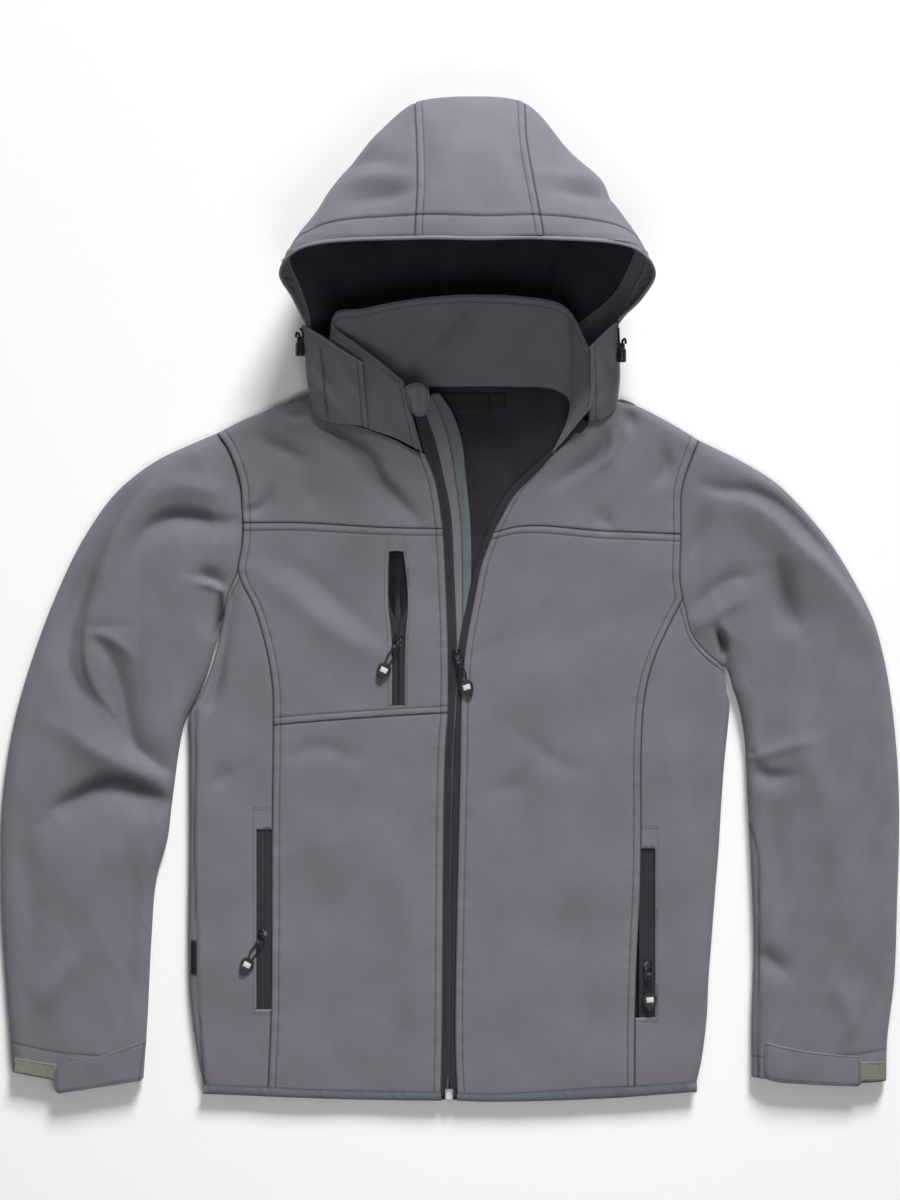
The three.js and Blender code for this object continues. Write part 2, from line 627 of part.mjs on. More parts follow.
// Main zip: two tapes under the front edges, the wind flap behind them and the chin guard
const tapeWall = 1.2;
const tapeUnder = clothWall + 0.4;
const flapUnder = tapeUnder + tapeWall + 0.6;
const tapeTuck = 2;
const tapeHeight = (x, y) => frontHeight(x, y) - tapeUnder + neckLift(y);
const flapHeight = (x, y) => frontHeight(x, y) - flapUnder + neckLift(y);

function strip(name, left, right, steps, heightAt, thickness, color) {
  const leftLine = along(left, steps);
  const rightLine = along(right, steps);
  const flat = leftLine.map((p, i) => [p, p.clone().lerp(rightLine[i], 0.5), rightLine[i]]);
  addPiece(name, solidWall(wall(raise(flat, heightAt), thickness, 1)), color);
}

strip('main_zip_tape_right',
  [[-11, -499], [-10, -440], [-7, -160], [-4, -104], [-4, -50], [-7, 34], [-9, 75], [-13, 100],
    [-17, 120], [-24.5, 143], [-29.5, 160], [-34, 177], [-37, 189]],
  [[-1.5, -499], [-1, -440], [2.5, -160], [5.5, -104], [7, -50], [4, 34], [2, 75], [-1, 100],
    [-5.5, 120], [-10.5, 143], [-15, 160], [-21, 177], [-25, 189]],
  36, tapeHeight, tapeWall, black);
strip('main_zip_tape_left',
  [[-0.8, -499], [-0.3, -440], [3.4, -160], [6.6, -104], [8.2, -50], [17.5, 0], [25, 34], [37, 67],
    [44, 83], [58, 108], [82, 132], [94, 142]],
  [[9, -499], [7, -440], [12, -160], [13, -104], [17, -50], [26, 0], [33, 34], [45, 67],
    [52, 80], [66, 104], [86, 124], [98, 137]],
  34, tapeHeight, tapeWall, black);
strip('wind_flap',
  [[-6, -484], [-5, -160], [-1, -50], [-4, 34], [-6, 75], [-10, 100], [-15, 125], [-22, 147], [-27, 170],
    [-31, 186], [-35, 202]],
  [[11, -484], [14, -160], [18, -50], [20, 34], [19, 75], [17, 100], [14, 125], [12, 147], [7, 170],
    [-1, 190], [-12, 206]],
  35, flapHeight, clothWall, grey);

// Box at the foot of the main zip, and the chin guard folded over its top
const lyingOn = (heightAt, thickness) => (x, y) => heightAt(x, y) + layGap + thickness;
const boxWall = 1.8;
laidPiece('main_zip_box', [[-5, -500], [3, -500]], [[-5, -489], [3, -489]], 1, 1,
  lyingOn(tapeHeight, boxWall), boxWall, 0x8d8d90);

const chinWall = 1.6;
const chinFoot = 184;
const chinStand = 30.1;
laidPiece('chin_guard', [[-37, 184], [-30, 182], [-20, 187]], [[-46, 212], [-34, 215], [-21, 211]], 3, 4,
  (x, y) => chinStand + neckRise * (y - chinFoot), chinWall, grey);

// Chest pocket: the zip's two tapes as one piece, open above the slider, over the pocket bag
const slotTop = (y) => torsoLoft - y;
const chestTapeLow = slotTop(tapeUnder + tapeWall);
const chestTapeHigh = slotTop(tapeUnder);
{
  const tapes = prism([[-61, -109], [-43, -109], [-42, -40], [-39, -8], [-41, 25], [-44, 52], [-64, 52],
    [-65, 25], [-64.5, -8], [-62, -30]], chestTapeLow, chestTapeHigh);
  const mouth = prism([[-52.4, -28], [-51.6, -28], [-43.5, -4], [-44.5, 25], [-47.5, 46], [-60.5, 46],
    [-61, 25], [-60.5, -4]], chestTapeLow - 1, chestTapeHigh + 1);
  addPiece('chest_zip_tapes', cut(tapes, mouth), black);
  const bagWall = 0.8;
  addPiece('chest_pocket_bag', prism([[-70, -112], [-34, -112], [-32, 56], [-72, 56]],
    chestTapeLow - layGap - bagWall, chestTapeLow - layGap), black);
}

// Hand pockets: one closed pair of zip tapes each
for (const [side, { x0, x1, y0, y1 }] of [['right', handZipRight], ['left', handZipLeft]]) {
  const low = torsoLoft - tapeUnder - tapeWall;
  addPiece(`hand_zip_tapes_${side}`,
    prism([[x0 - tapeTuck, y0 - tapeTuck], [x1 + tapeTuck, y0 - tapeTuck], [x1 + tapeTuck, y1 + tapeTuck],
      [x0 - tapeTuck, y1 + tapeTuck]], low, low + tapeWall), black);
}

// Sliders and pulls. The slider lies along the zip; its bridge stands over a window in which
// the pull's end bar turns.
const solidBox = (x0, x1, y0, y1, z0, z1) => new THREE.BoxGeometry(x1 - x0, y1 - y0, z1 - z0)
  .translate((x0 + x1) / 2, (y0 + y1) / 2, (z0 + z1) / 2);

function sliderGeometry() {
  const nose = sliderWidth / 2;
  const half = sliderLength / 2;
  const body = plate([[-nose * 0.55, -half], [nose * 0.55, -half], [nose * 0.75, -1], [nose, half - 3],
    [nose * 0.8, half], [-nose * 0.8, half], [-nose, half - 3], [-nose * 0.75, -1]], sliderBody, 0.5);
  const post = 1.5;
  const reach = bridgeLength / 2;
  const w = bridgeWidth / 2;
  const top = sliderBody / 2;
  const sunk = 0.3;
  return joined([
    body,
    solidBox(-w, w, -reach, -reach + post, top - sunk, top + bridgeHeight),
    solidBox(-w, w, reach - post, reach, top - sunk, top + bridgeHeight),
    solidBox(-w, w, -reach, reach, top + bridgeHeight - 0.9, top + bridgeHeight),
  ]);
}

// The pull points along -Y from its end bar, which lies on the turning axis at the origin
function pullGeometry() {
  const bar = pullBar / 2;
  const ring = 3.6;
  const windowEnd = -5.5;
  const gripTop = -tabLength - 14;
  const gripWide = gripTop - 5;
  const gripWaist = gripTop - 11;
  const gripEnd = gripTop - gripLength;
  const half = gripWidth / 2;
  const cord = 0.7;
  const strand = (sign) => {
    const route = new THREE.CatmullRomCurve3([V(sign * 1.2, 1.5 - tabLength, 0),
      V(sign * 3, -tabLength - 6, 0), V(sign * 2, gripTop - 2, 0)]);
    const ringShape = new THREE.Shape().absarc(0, 0, cord, 0, Math.PI * 2);
    return new THREE.ExtrudeGeometry(ringShape, { steps: 4, curveSegments: 3, extrudePath: route });
  };
  const grip = plate([[-3, gripTop], [3, gripTop], [half, gripWide], [half - 1.5, gripWaist],
    [2, gripEnd], [-2, gripEnd], [1.5 - half, gripWaist], [-half, gripWide]], gripThick, 0.6);
  return joined([
    solidBox(-ring, ring, -bar, bar, -bar, bar),
    solidBox(-ring, -ring + pullBar, windowEnd, bar, -bar, bar),
    solidBox(ring - pullBar, ring, windowEnd, bar, -bar, bar),
    solidBox(-ring, ring, -tabLength, -5, -bar, bar),
    strand(-1),
    strand(1),
    grip,
  ]);
}

const sliderHeight = torsoLoft - tapeUnder + layGap + sliderBody / 2;
const pivotHeight = sliderHeight + sliderBody / 2 + 1.3;
const zipPulls = [
  { name: 'main', at: [7, -55], along: [1, -14], towards: [13, -43] },
  { name: 'chest', at: [-51, -40], along: [0, -1], towards: [-19, -38] },
  { name: 'hand_right', at: [-187, -335], along: [0, -1], towards: [-22, -41] },
  { name: 'hand_left', at: [197.5, -366], along: [-1, -20], towards: [3, -44] },
];
const turnTo = ([x, y]) => Math.atan2(x, -y);
for (const { name, at: [x, y], along: run, towards } of zipPulls) {
  const slider = sliderGeometry().rotateZ(turnTo(run)).translate(x, y, sliderHeight);
  const pull = pullGeometry().rotateZ(turnTo(towards)).translate(x, y, pivotHeight);
  addPiece(`slider_${name}`, slider, black, 0.3, 0.6);
  addPiece(`pull_${name}`, pull, black, 0.45);
}

// Cord locks at both ends of the brim cord, each with its short end of cord
function cordLock() {
  const profile = [[0, -11], [3, -11], [4.6, -9], [4.8, 3], [3.6, 5], [2.6, 5.4], [2.6, 9],
    [1.8, 10.5], [0, 10.5]];
  return new THREE.LatheGeometry(profile.map(([r, h]) => new THREE.Vector2(r, h)), 10);
}
addPiece('cord_lock_right', toGeometry(toSolid(cordLock().translate(-148.4, 252, 46))), black, 0.5);
addPiece('cord_lock_left', toGeometry(toSolid(cordLock().translate(170.5, 246, 44))), black, 0.5);

// Labels, all blank: two inside the back neck and one in the right side seam
const labelWall = 0.6;
const onBack = () => clothWall + layGap + labelWall;
laidPiece('neck_label', [[-20, 187], [40, 187]], [[-20, 208], [40, 208]], 1, 2, onBack, labelWall, black);
laidPiece('size_label', [[42, 191], [56, 191]], [[42, 208], [56, 208]], 1, 1, onBack, labelWall, black);
laidPiece('side_label', [[-259, -374], [-253, -374]], [[-259, -340], [-253, -340]], 2, 1,
  lyingOn(frontHeight, labelWall), labelWall, black);

export default part;
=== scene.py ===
# The look of a hooded softshell jacket that lies on its back with the hood standing open.
# Tables are in millimetres in the frame's own axes; right and left are the wearer's.
import json
import math

import bpy
import numpy as np
from mathutils import Matrix, Vector

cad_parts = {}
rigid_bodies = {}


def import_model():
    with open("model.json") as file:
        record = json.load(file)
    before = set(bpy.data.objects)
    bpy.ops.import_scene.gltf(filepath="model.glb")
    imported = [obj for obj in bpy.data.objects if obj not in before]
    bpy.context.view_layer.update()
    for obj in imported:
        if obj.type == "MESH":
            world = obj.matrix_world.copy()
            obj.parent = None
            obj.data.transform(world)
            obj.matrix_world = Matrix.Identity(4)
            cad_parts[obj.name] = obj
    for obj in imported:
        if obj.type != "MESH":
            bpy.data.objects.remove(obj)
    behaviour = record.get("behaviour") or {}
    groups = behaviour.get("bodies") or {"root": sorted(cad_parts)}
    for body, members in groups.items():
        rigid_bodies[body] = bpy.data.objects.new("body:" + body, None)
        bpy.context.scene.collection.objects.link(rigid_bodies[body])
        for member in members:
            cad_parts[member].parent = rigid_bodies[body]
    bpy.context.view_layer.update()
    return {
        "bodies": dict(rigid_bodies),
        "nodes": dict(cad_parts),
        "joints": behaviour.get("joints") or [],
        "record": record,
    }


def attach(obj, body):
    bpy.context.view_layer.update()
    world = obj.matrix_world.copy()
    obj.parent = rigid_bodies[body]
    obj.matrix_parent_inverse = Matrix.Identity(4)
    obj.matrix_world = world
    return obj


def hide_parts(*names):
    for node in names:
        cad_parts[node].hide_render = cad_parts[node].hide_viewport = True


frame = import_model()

MM = 0.001
BODY = "jacket"
CLOTH = 1.3          # thickness of the bonded cloth
TORSO = 12.0         # height of the front over the surface it lies on
SLEEVE = 15.0        # height of a sleeve
MEET = 6.0           # height where an upper and an under piece meet at a fold
ROLL = 10.0          # width of the rolled side of the body
SLEEVE_ROLL = 14.0   # width of the rolled side of a sleeve
STITCH_IN = 7.2      # distance of a topstitch from its seam


# Colours and materials

TWILL = math.radians(58)   # slope of the twill ribs
ONE_BAND = 0.314     # scale of a wave texture with one band to the millimetre
MOTTLE = 0.02        # scale of the mottling, in clouds about 50 mm wide
TURNED_IN = 20.0     # mm over which the turned value of a mesh runs from 0 to 1, with 0.5 at the border


def linear(code):
    """Linear colour of an sRGB hex value."""
    parts = [int(code[i:i + 2], 16) / 255 for i in (1, 3, 5)]
    return (*[p / 12.92 if p <= 0.04045 else ((p + 0.055) / 1.055) ** 2.4 for p in parts], 1)


def node(tree, kind, links=(), **settings):
    """Adds one shader node; settings name its sockets or properties, links are (socket, output)."""
    made = tree.nodes.new(kind)
    for name, value in settings.items():
        socket = made.inputs.get(name.replace("_", " "))
        if socket is not None and not hasattr(made, name):
            socket.default_value = value
        elif hasattr(made, name):
            setattr(made, name, value)
        else:
            made.inputs[int(name[1:])].default_value = value
    for target, output in links:
        tree.links.new(made.inputs[target], output)
    return made


def surface(name, roughness, metallic=0.0, ior=1.5, sheen=0.0, sheen_rough=0.5, specular=0.5, coat=0.0):
    """A new material with its shader; returns the material, its node tree and the shader."""
    made = bpy.data.materials.new(name)
    made.use_nodes = True
    tree = made.node_tree
    shader = tree.nodes["Principled BSDF"]
    values = {
        "Roughness": roughness, "Metallic": metallic, "IOR": ior, "Sheen Weight": sheen,
        "Sheen Roughness": sheen_rough, "Specular IOR Level": specular, "Coat Weight": coat,
    }
    for socket, value in values.items():
        shader.inputs[socket].default_value = value
    return made, tree, shader


def cloth_material(name, deep, light, thread_mm, weave, grain, nap_mm, roughness=0.8, sheen=0.18,
                   twill=True,
                   seam_and_shade_colour="#34333a", facing=None):
    """Woven or napped cloth on the piece's own UV map, which is laid out in millimetres.

    deep and light are the two colours it is mottled between, thread_mm the spacing of its yarns,
    drawn coarser than real so that it shows, weave and grain the depth of yarn and nap in mm.
    Where the mesh's painted shade value rises to 1, in a seam, along a stitch line or in a deep fold, the
    cloth is darkened towards the seam colour: painted shade.
    facing is the colour of the outer cloth, which shows where the mesh's turned value passes 0.5.
    """
    made, tree, shader = surface(name, roughness, sheen=sheen, specular=0.35)
    shader.inputs["Sheen Tint"].default_value = linear("#b8b8c6")
    uv = node(tree, "ShaderNodeUVMap", uv_map="cloth")
    turn = node(tree, "ShaderNodeMapping", [("Vector", uv.outputs["UV"])])
    turn.inputs["Rotation"].default_value = (0, 0, TWILL if twill else 0)
    cloud = node(tree, "ShaderNodeTexNoise", [("Vector", uv.outputs["UV"])], Scale=MOTTLE, Detail=4.0,
                 Roughness=0.6)
    fleck = node(tree, "ShaderNodeTexNoise", [("Vector", uv.outputs["UV"])], Scale=1 / nap_mm, Detail=3.0,
                 Roughness=0.7)
    ribs = node(tree, "ShaderNodeTexWave", [("Vector", turn.outputs["Vector"])], wave_type="BANDS",
                bands_direction="X", Scale=ONE_BAND / thread_mm, Distortion=1.2, Detail=2.0)
    blend = node(tree, "ShaderNodeMath", [(0, cloud.outputs["Fac"]), (1, fleck.outputs["Fac"])],
                 operation="ADD")
    ramp = node(tree, "ShaderNodeMapRange", [("Value", blend.outputs["Value"])])
    for socket, value in (("From Min", 0.7), ("From Max", 1.3), ("To Min", 0.0), ("To Max", 1.0)):
        ramp.inputs[socket].default_value = value
    tint = node(tree, "ShaderNodeMix", data_type="RGBA")
    tint.inputs[6].default_value = linear(deep)
    tint.inputs[7].default_value = linear(light)
    tree.links.new(tint.inputs[0], ramp.outputs["Result"])
    colour = tint.outputs[2]
    if facing:
        # first the dark line of its stitching, then the outer cloth itself
        turned = node(tree, "ShaderNodeAttribute", attribute_name="turned")
        for low, high, code in ((0.46, 0.475, seam_and_shade_colour), (0.5, 0.515, facing)):
            step = node(tree, "ShaderNodeMapRange", [("Value", turned.outputs["Fac"])])
            step.inputs["From Min"].default_value = low
            step.inputs["From Max"].default_value = high
            layer = node(tree, "ShaderNodeMix", [(0, step.outputs["Result"]), (6, colour)],
                         data_type="RGBA")
            layer.inputs[7].default_value = linear(code)
            colour = layer.outputs[2]
    # painted shade: the mesh's painted shade value darkens the cloth towards the seam colour in seams,
    # stitch lines and deep folds
    painted_shade = node(tree, "ShaderNodeAttribute", attribute_name="painted_shade")
    shaded = node(tree, "ShaderNodeMix", [(0, painted_shade.outputs["Fac"]), (6, colour)], data_type="RGBA")
    shaded.inputs[7].default_value = linear(seam_and_shade_colour)
    tree.links.new(shader.inputs["Base Color"], shaded.outputs[2])
    yarn = node(tree, "ShaderNodeBump", [("Height", ribs.outputs["Fac"])], Strength=1.0)
    yarn.inputs["Distance"].default_value = weave * MM
    nap = node(tree, "ShaderNodeBump",
               [("Height", fleck.outputs["Fac"]), ("Normal", yarn.outputs["Normal"])],
               Strength=1.0)
    nap.inputs["Distance"].default_value = grain * MM
    tree.links.new(shader.inputs["Normal"], nap.outputs["Normal"])
    return made


def moulded_material(name, colour, roughness, grain_mm, depth, metallic=0.0, coat=0.0, worn=None):
    """Moulded plastic or cast metal on Object coordinates, with a fine uneven skin."""
    made, tree, shader = surface(name, roughness, metallic=metallic, coat=coat)
    place = node(tree, "ShaderNodeTexCoord")
    skin = node(tree, "ShaderNodeTexNoise", [("Vector", place.outputs["Object"])], Scale=1000 / grain_mm,
                Detail=3.0)
    tint = node(tree, "ShaderNodeMix", data_type="RGBA")
    tint.inputs[6].default_value = linear(colour)
    tint.inputs[7].default_value = linear(worn or colour)
    tree.links.new(tint.inputs[0], skin.outputs["Fac"])
    tree.links.new(shader.inputs["Base Color"], tint.outputs[2])
    gloss = node(tree, "ShaderNodeMapRange", [("Value", skin.outputs["Fac"])])
    gloss.inputs["To Min"].default_value = roughness - 0.08
    gloss.inputs["To Max"].default_value = roughness + 0.1
    tree.links.new(shader.inputs["Roughness"], gloss.outputs["Result"])
    bump = node(tree, "ShaderNodeBump", [("Height", skin.outputs["Fac"])], Strength=1.0)
    bump.inputs["Distance"].default_value = depth * MM
    tree.links.new(shader.inputs["Normal"], bump.outputs["Normal"])
    return made


# Woven polyester face of the softshell: matt mid grey with a faint blue cast and a soft nap
softshell = cloth_material("softshell polyester face", "#6a6971", "#77767f", 1.1, 0.05, 0.10, 1.6)
# Bonded fleece inside: near black, with a short pile that takes the light unevenly
fleece = cloth_material("bonded fleece inside", "#25232b", "#37353f", 2.2, 0.05, 0.35, 2.6, 0.95, 0.25,
                        False,
                        "#131217", facing="#74737b")
# Bias binding of hem and wind flap: smoother blue-grey woven tape
bias = cloth_material("woven bias binding", "#5a6068", "#687078", 0.9, 0.08, 0.05, 1.2, 0.7, 0.1)
# Binding of the hood's edges: the same tape in a lighter grey
edging = cloth_material("pale woven binding", "#72757d", "#81848c", 0.9, 0.08, 0.05, 1.2, 0.7, 0.1)
# Zip tape: close black polyester with lengthwise ribs
tape = cloth_material("woven zip tape", "#1f1e25", "#302f37", 1.3, 0.12, 0.05, 1.3, 0.62, 0.1, False)
# Laminated film of the chest pocket's zip: black and glossy
film = cloth_material("laminated pocket film", "#141318", "#1d1c22", 4.0, 0.02, 0.08, 6.0, 0.28, 0.0, False)
# Loop tape on the cuffs: grey-green fuzz
loops = cloth_material("loop tape", "#6c7166", "#8d9284", 1.5, 0.12, 0.5, 1.0, 0.95, 0.3, False)
# Label satin: black woven ribbon, left blank
ribbon_satin = cloth_material("black label satin", "#101014", "#1b1b20", 0.8, 0.05, 0.03, 1.0, 0.45, 0.1,
                              False)
# Sewing thread, a shade darker than the cloth
thread = cloth_material("sewing thread", "#3f3e46", "#4d4c54", 0.8, 0.05, 0.05, 1.0, 0.6, 0.1)

# Cast zinc slider with black lacquer: smooth, with bright glints on its edges
slider_metal = moulded_material("black lacquered zinc", "#1b1b1e", 0.24, 2.0, 0.02, metallic=0.5, coat=0.5,
                                worn="#2e2e33")
# Bottom box of the zip: bare, slightly dull aluminium
box_metal = moulded_material("die-cast aluminium", "#a9a9ad", 0.38, 1.5, 0.03, metallic=1.0)
# Braided polyester cord, drawn with a coarse braid
cord_look = moulded_material("braided black cord", "#141417", 0.7, 1.2, 0.25, worn="#242428")
# Moulded soft PVC grips: satin black
grip_rubber = moulded_material("moulded black PVC", "#18181b", 0.42, 1.5, 0.05, worn="#202024")
# The pale bar on each grip: moulded light grey PVC
pale_bar = moulded_material("moulded pale PVC", "#c9c9cb", 0.5, 1.5, 0.04, worn="#dadadc")
# Cord locks: glossy black acetal
lock_plastic = moulded_material("moulded black acetal", "#0f0f11", 0.28, 2.5, 0.02, worn="#151517")


# Lines and nets

def bell(distance, width, middle=0.0):
    """Soft bump: 1 at the middle and nearly 0 at twice the width from it."""
    return np.exp(-((distance - middle) / width) ** 2)


def unit(vectors):
    """Vectors made one long."""
    return vectors / np.maximum(np.linalg.norm(vectors, axis=-1, keepdims=True), 1e-9)


def spline(points, per_span=20):
    """Smooth line through the points, as a dense row of points."""
    p = np.asarray(points, float)
    if len(p) == 2:
        return p[0] + (p[1] - p[0]) * np.linspace(0, 1, per_span + 1)[:, None]
    p = np.vstack([2 * p[0] - p[1], p, 2 * p[-1] - p[-2]])
    knots = np.concatenate([[0], np.cumsum(np.linalg.norm(np.diff(p, axis=0), axis=1) ** 0.5)])
    rows = []
    for i in range(1, len(p) - 2):
        t0, t1, t2, t3 = knots[i - 1:i + 3]
        last = i == len(p) - 3
        t = np.linspace(t1, t2, per_span + last, endpoint=last)[:, None]
        a = ((t1 - t) * p[i - 1] + (t - t0) * p[i]) / (t1 - t0)
        b = ((t2 - t) * p[i] + (t - t1) * p[i + 1]) / (t2 - t1)
        c = ((t3 - t) * p[i + 1] + (t - t2) * p[i + 2]) / (t3 - t2)
        ab = ((t2 - t) * a + (t - t0) * b) / (t2 - t0)
        bc = ((t3 - t) * b + (t - t1) * c) / (t3 - t1)
        rows.append(((t2 - t) * ab + (t - t1) * bc) / (t2 - t1))
    return np.vstack(rows)


def reach(line):
    """Length along a line up to each of its points."""
    return np.concatenate([[0], np.cumsum(np.linalg.norm(np.diff(line, axis=0), axis=1))])


def at(line, shares):
    """Points at shares of a line's length."""
    s = reach(line)
    s = s / s[-1]
    return np.stack([np.interp(shares, s, line[:, k]) for k in range(line.shape[1])], axis=-1)


def stretch(line, start, end):
    """The part of a line between two shares of its length."""
    return at(line, np.linspace(start, end, max(3, int(reach(line)[-1] * abs(end - start) / 2))))


def positions(length, start, end, step_count):
    """Places along a length: given offsets near both ends and even steps between them."""
    middle = np.linspace(start[-1], length - end[-1], step_count + 1)[1:-1]
    return np.concatenate([start, middle, length - np.asarray(end)[::-1]])


def coons(bottom, top, left, right, u, v):
    """Net of plan points between four border lines; u has a share for each point, v one a row."""
    across = at(left, v)[:, None] * (1 - u[..., None]) + at(right, v)[:, None] * u[..., None]
    bow_low = at(bottom, u) - (bottom[0] * (1 - u[..., None]) + bottom[-1] * u[..., None])
    bow_high = at(top, u) - (top[0] * (1 - u[..., None]) + top[-1] * u[..., None])
    return across + bow_low * (1 - v)[:, None, None] + bow_high * v[:, None, None]


def nearest(line, xy):
    """Distance of each place to a line, its share along it, and 1 on the line's left or -1 on its right."""
    flat = xy.reshape(-1, 2)
    a, b = line[:-1, :2], line[1:, :2]
    d = b - a
    length2 = np.maximum((d ** 2).sum(1), 1e-9)
    t = np.clip(((flat[:, None] - a) * d).sum(2) / length2, 0, 1)
    gap = np.linalg.norm(flat[:, None] - a - t[..., None] * d, axis=2)
    best = gap.argmin(1)
    rows = np.arange(len(flat))
    share = (best + t[rows, best]) / len(a)
    off = flat - a[best]
    side = np.where(d[best, 0] * off[:, 1] > d[best, 1] * off[:, 0], 1, -1)
    return [found.reshape(xy.shape[:-1]) for found in (gap[rows, best], share, side)]


def rolled(distance, width):
    """Quarter round from 0 at an edge to 1 at this width from it."""
    return np.sqrt(np.clip(1 - (1 - np.clip(distance / width, 0, 1)) ** 2, 0, 1))


FLANKS = 1.6         # how steeply a fold's flanks fall; 2 is a bell
# A fold's height along it: the share of a half wave that it starts at, its length and its power
FADE_START, FADE_SPAN, FADE_POWER = 0.06, 0.88, 0.8


def fold_heights(folds, xy):
    """Soft ridges and troughs: each row is a line of places, its half width and its height.

    A pair of half widths is for a fold that is steeper on one side: left, then right of the line.
    """
    total = np.zeros(xy.shape[:-1])
    for places, width, height in folds:
        gap, share, side = nearest(spline(places, 6), xy)
        left, right = width if isinstance(width, tuple) else (width, width)
        ends = np.sin(np.pi * (FADE_START + FADE_SPAN * share)) ** FADE_POWER
        total += height * ends * np.exp(-(gap / np.where(side > 0, left, right)) ** FLANKS)
    return total


def waves(xy, length, height, seed):
    """A low uneven swell over the cloth, from a few crossing waves."""
    draw = np.random.default_rng(seed)
    total = np.zeros(xy.shape[:-1])
    for _ in range(6):
        angle = draw.uniform(0, math.pi)
        size = length * draw.uniform(0.7, 1.8)
        phase = draw.uniform(0, 2 * math.pi)
        run = xy[..., 0] * math.cos(angle) + xy[..., 1] * math.sin(angle)
        total += np.sin(run * 2 * math.pi / size + phase)
    return total * height / 2.5


# Seam lines of the body, from the shoulder down

armhole_right = spline([(-233, 167), (-222, 151), (-213, 129), (-209, 112), (-208, 92), (-207, 75),
                        (-208, 54), (-211, 39), (-213, 27), (-218, 16), (-222, 5), (-227, -16)])
armhole_left = spline([(249, 160), (238, 132), (233, 116), (231, 103), (231, 62), (230, 40),
                       (230, 20), (233, 0), (236, -12), (241, -32), (253, -49), (273, -66)])
side_right = spline([(-227, -16), (-232, -42), (-242, -76), (-252, -98), (-261, -116), (-261, -150),
                     (-261, -250), (-262, -340), (-261, -390), (-258, -420), (-252, -460), (-247, -485)])
side_left = spline([(273, -66), (275, -78), (277, -90), (280, -103), (279, -120), (275, -160), (272, -200),
                    (269, -250), (265, -300), (262, -340), (259, -380), (257, -420), (252, -460),
                    (247, -482)])
shoulder_right = [(-233, 167), (-208, 180), (-188, 188), (-163, 198), (-140, 205)]
neck_right = [(-129, 190), (-113, 179), (-90, 173), (-78, 169), (-55, 160), (-36, 150), (-25, 146)]
neck_left = [(100, 142), (119, 160), (135, 177), (146, 184), (160, 190)]
shoulder_left = [(168, 200), (188, 194), (214, 181), (233, 170), (249, 160)]
# Lines where the front rolls over to the back
roll_lines = [side_right, side_left, spline(shoulder_right), spline(shoulder_left)]

# Shares along the armholes where the yoke and princess seams meet them
YOKE_R, PRINCESS_R, YOKE_L, PRINCESS_L = 6 / 12, 9 / 12, 6 / 15, 10 / 15
POCKET = 8 / 26      # share of the right princess seam above the chest panel's lower seam


def start_at(point, rest):
    """Smooth line from a point that was worked out through the rest."""
    return spline([tuple(point)] + rest)


princess_right = start_at(at(armhole_right, PRINCESS_R), [
    (-208, 16), (-197, -5), (-188, -32), (-182, -57), (-178, -83), (-177, -100), (-177, -150), (-178, -230),
    (-179, -413), (-182, -488)])
princess_left = start_at(at(armhole_left, PRINCESS_L), [
    (218, -28), (206.5, -53), (199, -75), (193.6, -105), (191, -150), (191, -227), (190, -290), (187, -355),
    (185, -417), (184.6, -487)])
yoke_right = start_at(at(armhole_right, YOKE_R), [(-150, 77), (-70, 72.5), (-7, 71)])
yoke_left = spline([(43, 67), (67, 73), (90, 74), (150, 69), (200, 67), tuple(at(armhole_left, YOKE_L))])
pocket_seam = start_at(at(princess_right, POCKET), [(-150, -123), (-70, -117), (-2, -113)])
hem_right = spline([tuple(princess_right[-1]), (-150, -490), (-90, -492), (-9, -493)])
hem_left = spline([(7, -494), (40, -495), (150, -488.6), tuple(princess_left[-1])])
edge_right = [spline([(-25, 146), (-15, 120), (-11, 100), (-7, 71)]),
              spline([(-7, 71), (-5, 34), (-2, -49), (-2, -113)]),
              spline([(-2, -113), (-5, -160), (-8, -440), (-9, -493)])]
edge_left = [spline([(100, 142), (87, 127), (64, 104), (50, 80), (43, 67)]),
             spline([(43, 67), (31, 34), (24, 0), (15, -50), (11, -104), (10, -160), (5, -440), (7, -494)])]

torso_folds = [
    # right yoke, from the pocket under the collar down
    ([(-127, 179), (-114, 165), (-96, 154), (-80, 141), (-70, 120), (-57, 106), (-43, 91), (-32, 79)],
     (7, 12), -8.5),
    ([(-125, 168), (-112, 158), (-98, 149)], 4, 3), ([(-160, 190), (-153, 186), (-143, 187)], 5, -6),
    ([(-138, 193), (-148, 180), (-166, 175)], 6, 4.5),
    ([(-191, 163), (-173, 154), (-157, 145), (-143, 138)], 7, -5.1),
    ([(-208, 88), (-193, 90), (-184, 99), (-179, 111)], 5, -4.5), ([(-134, 115), (-143, 95)], 8, -1.8),
    # chest and side at the right
    ([(-203, 34), (-160, 4), (-120, -28), (-75, -54)], 13, 2.7),
    ([(-190, 46), (-140, 22), (-100, -14), (-66, -40)], 12, -2.5),
    ([(-217, 2), (-228, -57), (-238, -100), (-243, -111)], 5, -4.5),
    ([(-163, -159), (-131, -148), (-88, -161)], 9, -2.6),
    ([(-238, -185), (-217, -169)], 9, -2.4), ([(-60, -260), (-36, -330), (-50, -430)], 26, 3.6),
    ([(-150, -250), (-120, -330), (-135, -420)], 22, -2.7),
    # left yoke
    ([(152, 171), (155, 155), (144, 140), (126, 128), (108, 116)], (5, 11), -6.8),
    ([(164, 179), (164, 157), (157, 140), (140, 130)], 4, 3.3), ([(181, 190), (180, 170)], 6, -5.4),
    ([(168, 187), (177, 160)], 4, 2.7), ([(214, 153), (216, 132), (206, 116)], 7, -5.1),
    ([(144, 87), (163, 73)], 7, -2.7),
    # left front
    ([(25, -57), (54, -38)], 7, -1.4), ([(62, -129), (105, -161), (130, -172)], 10, -2),
    ([(38, -191), (78, -186)], 9, -1.5), ([(120, -20), (85, -110), (90, -230)], 28, 3.3),
    ([(150, -240), (128, -330), (146, -430)], 24, -2.4), ([(216, -120), (226, -200), (222, -300)], 16, 2.4),
]
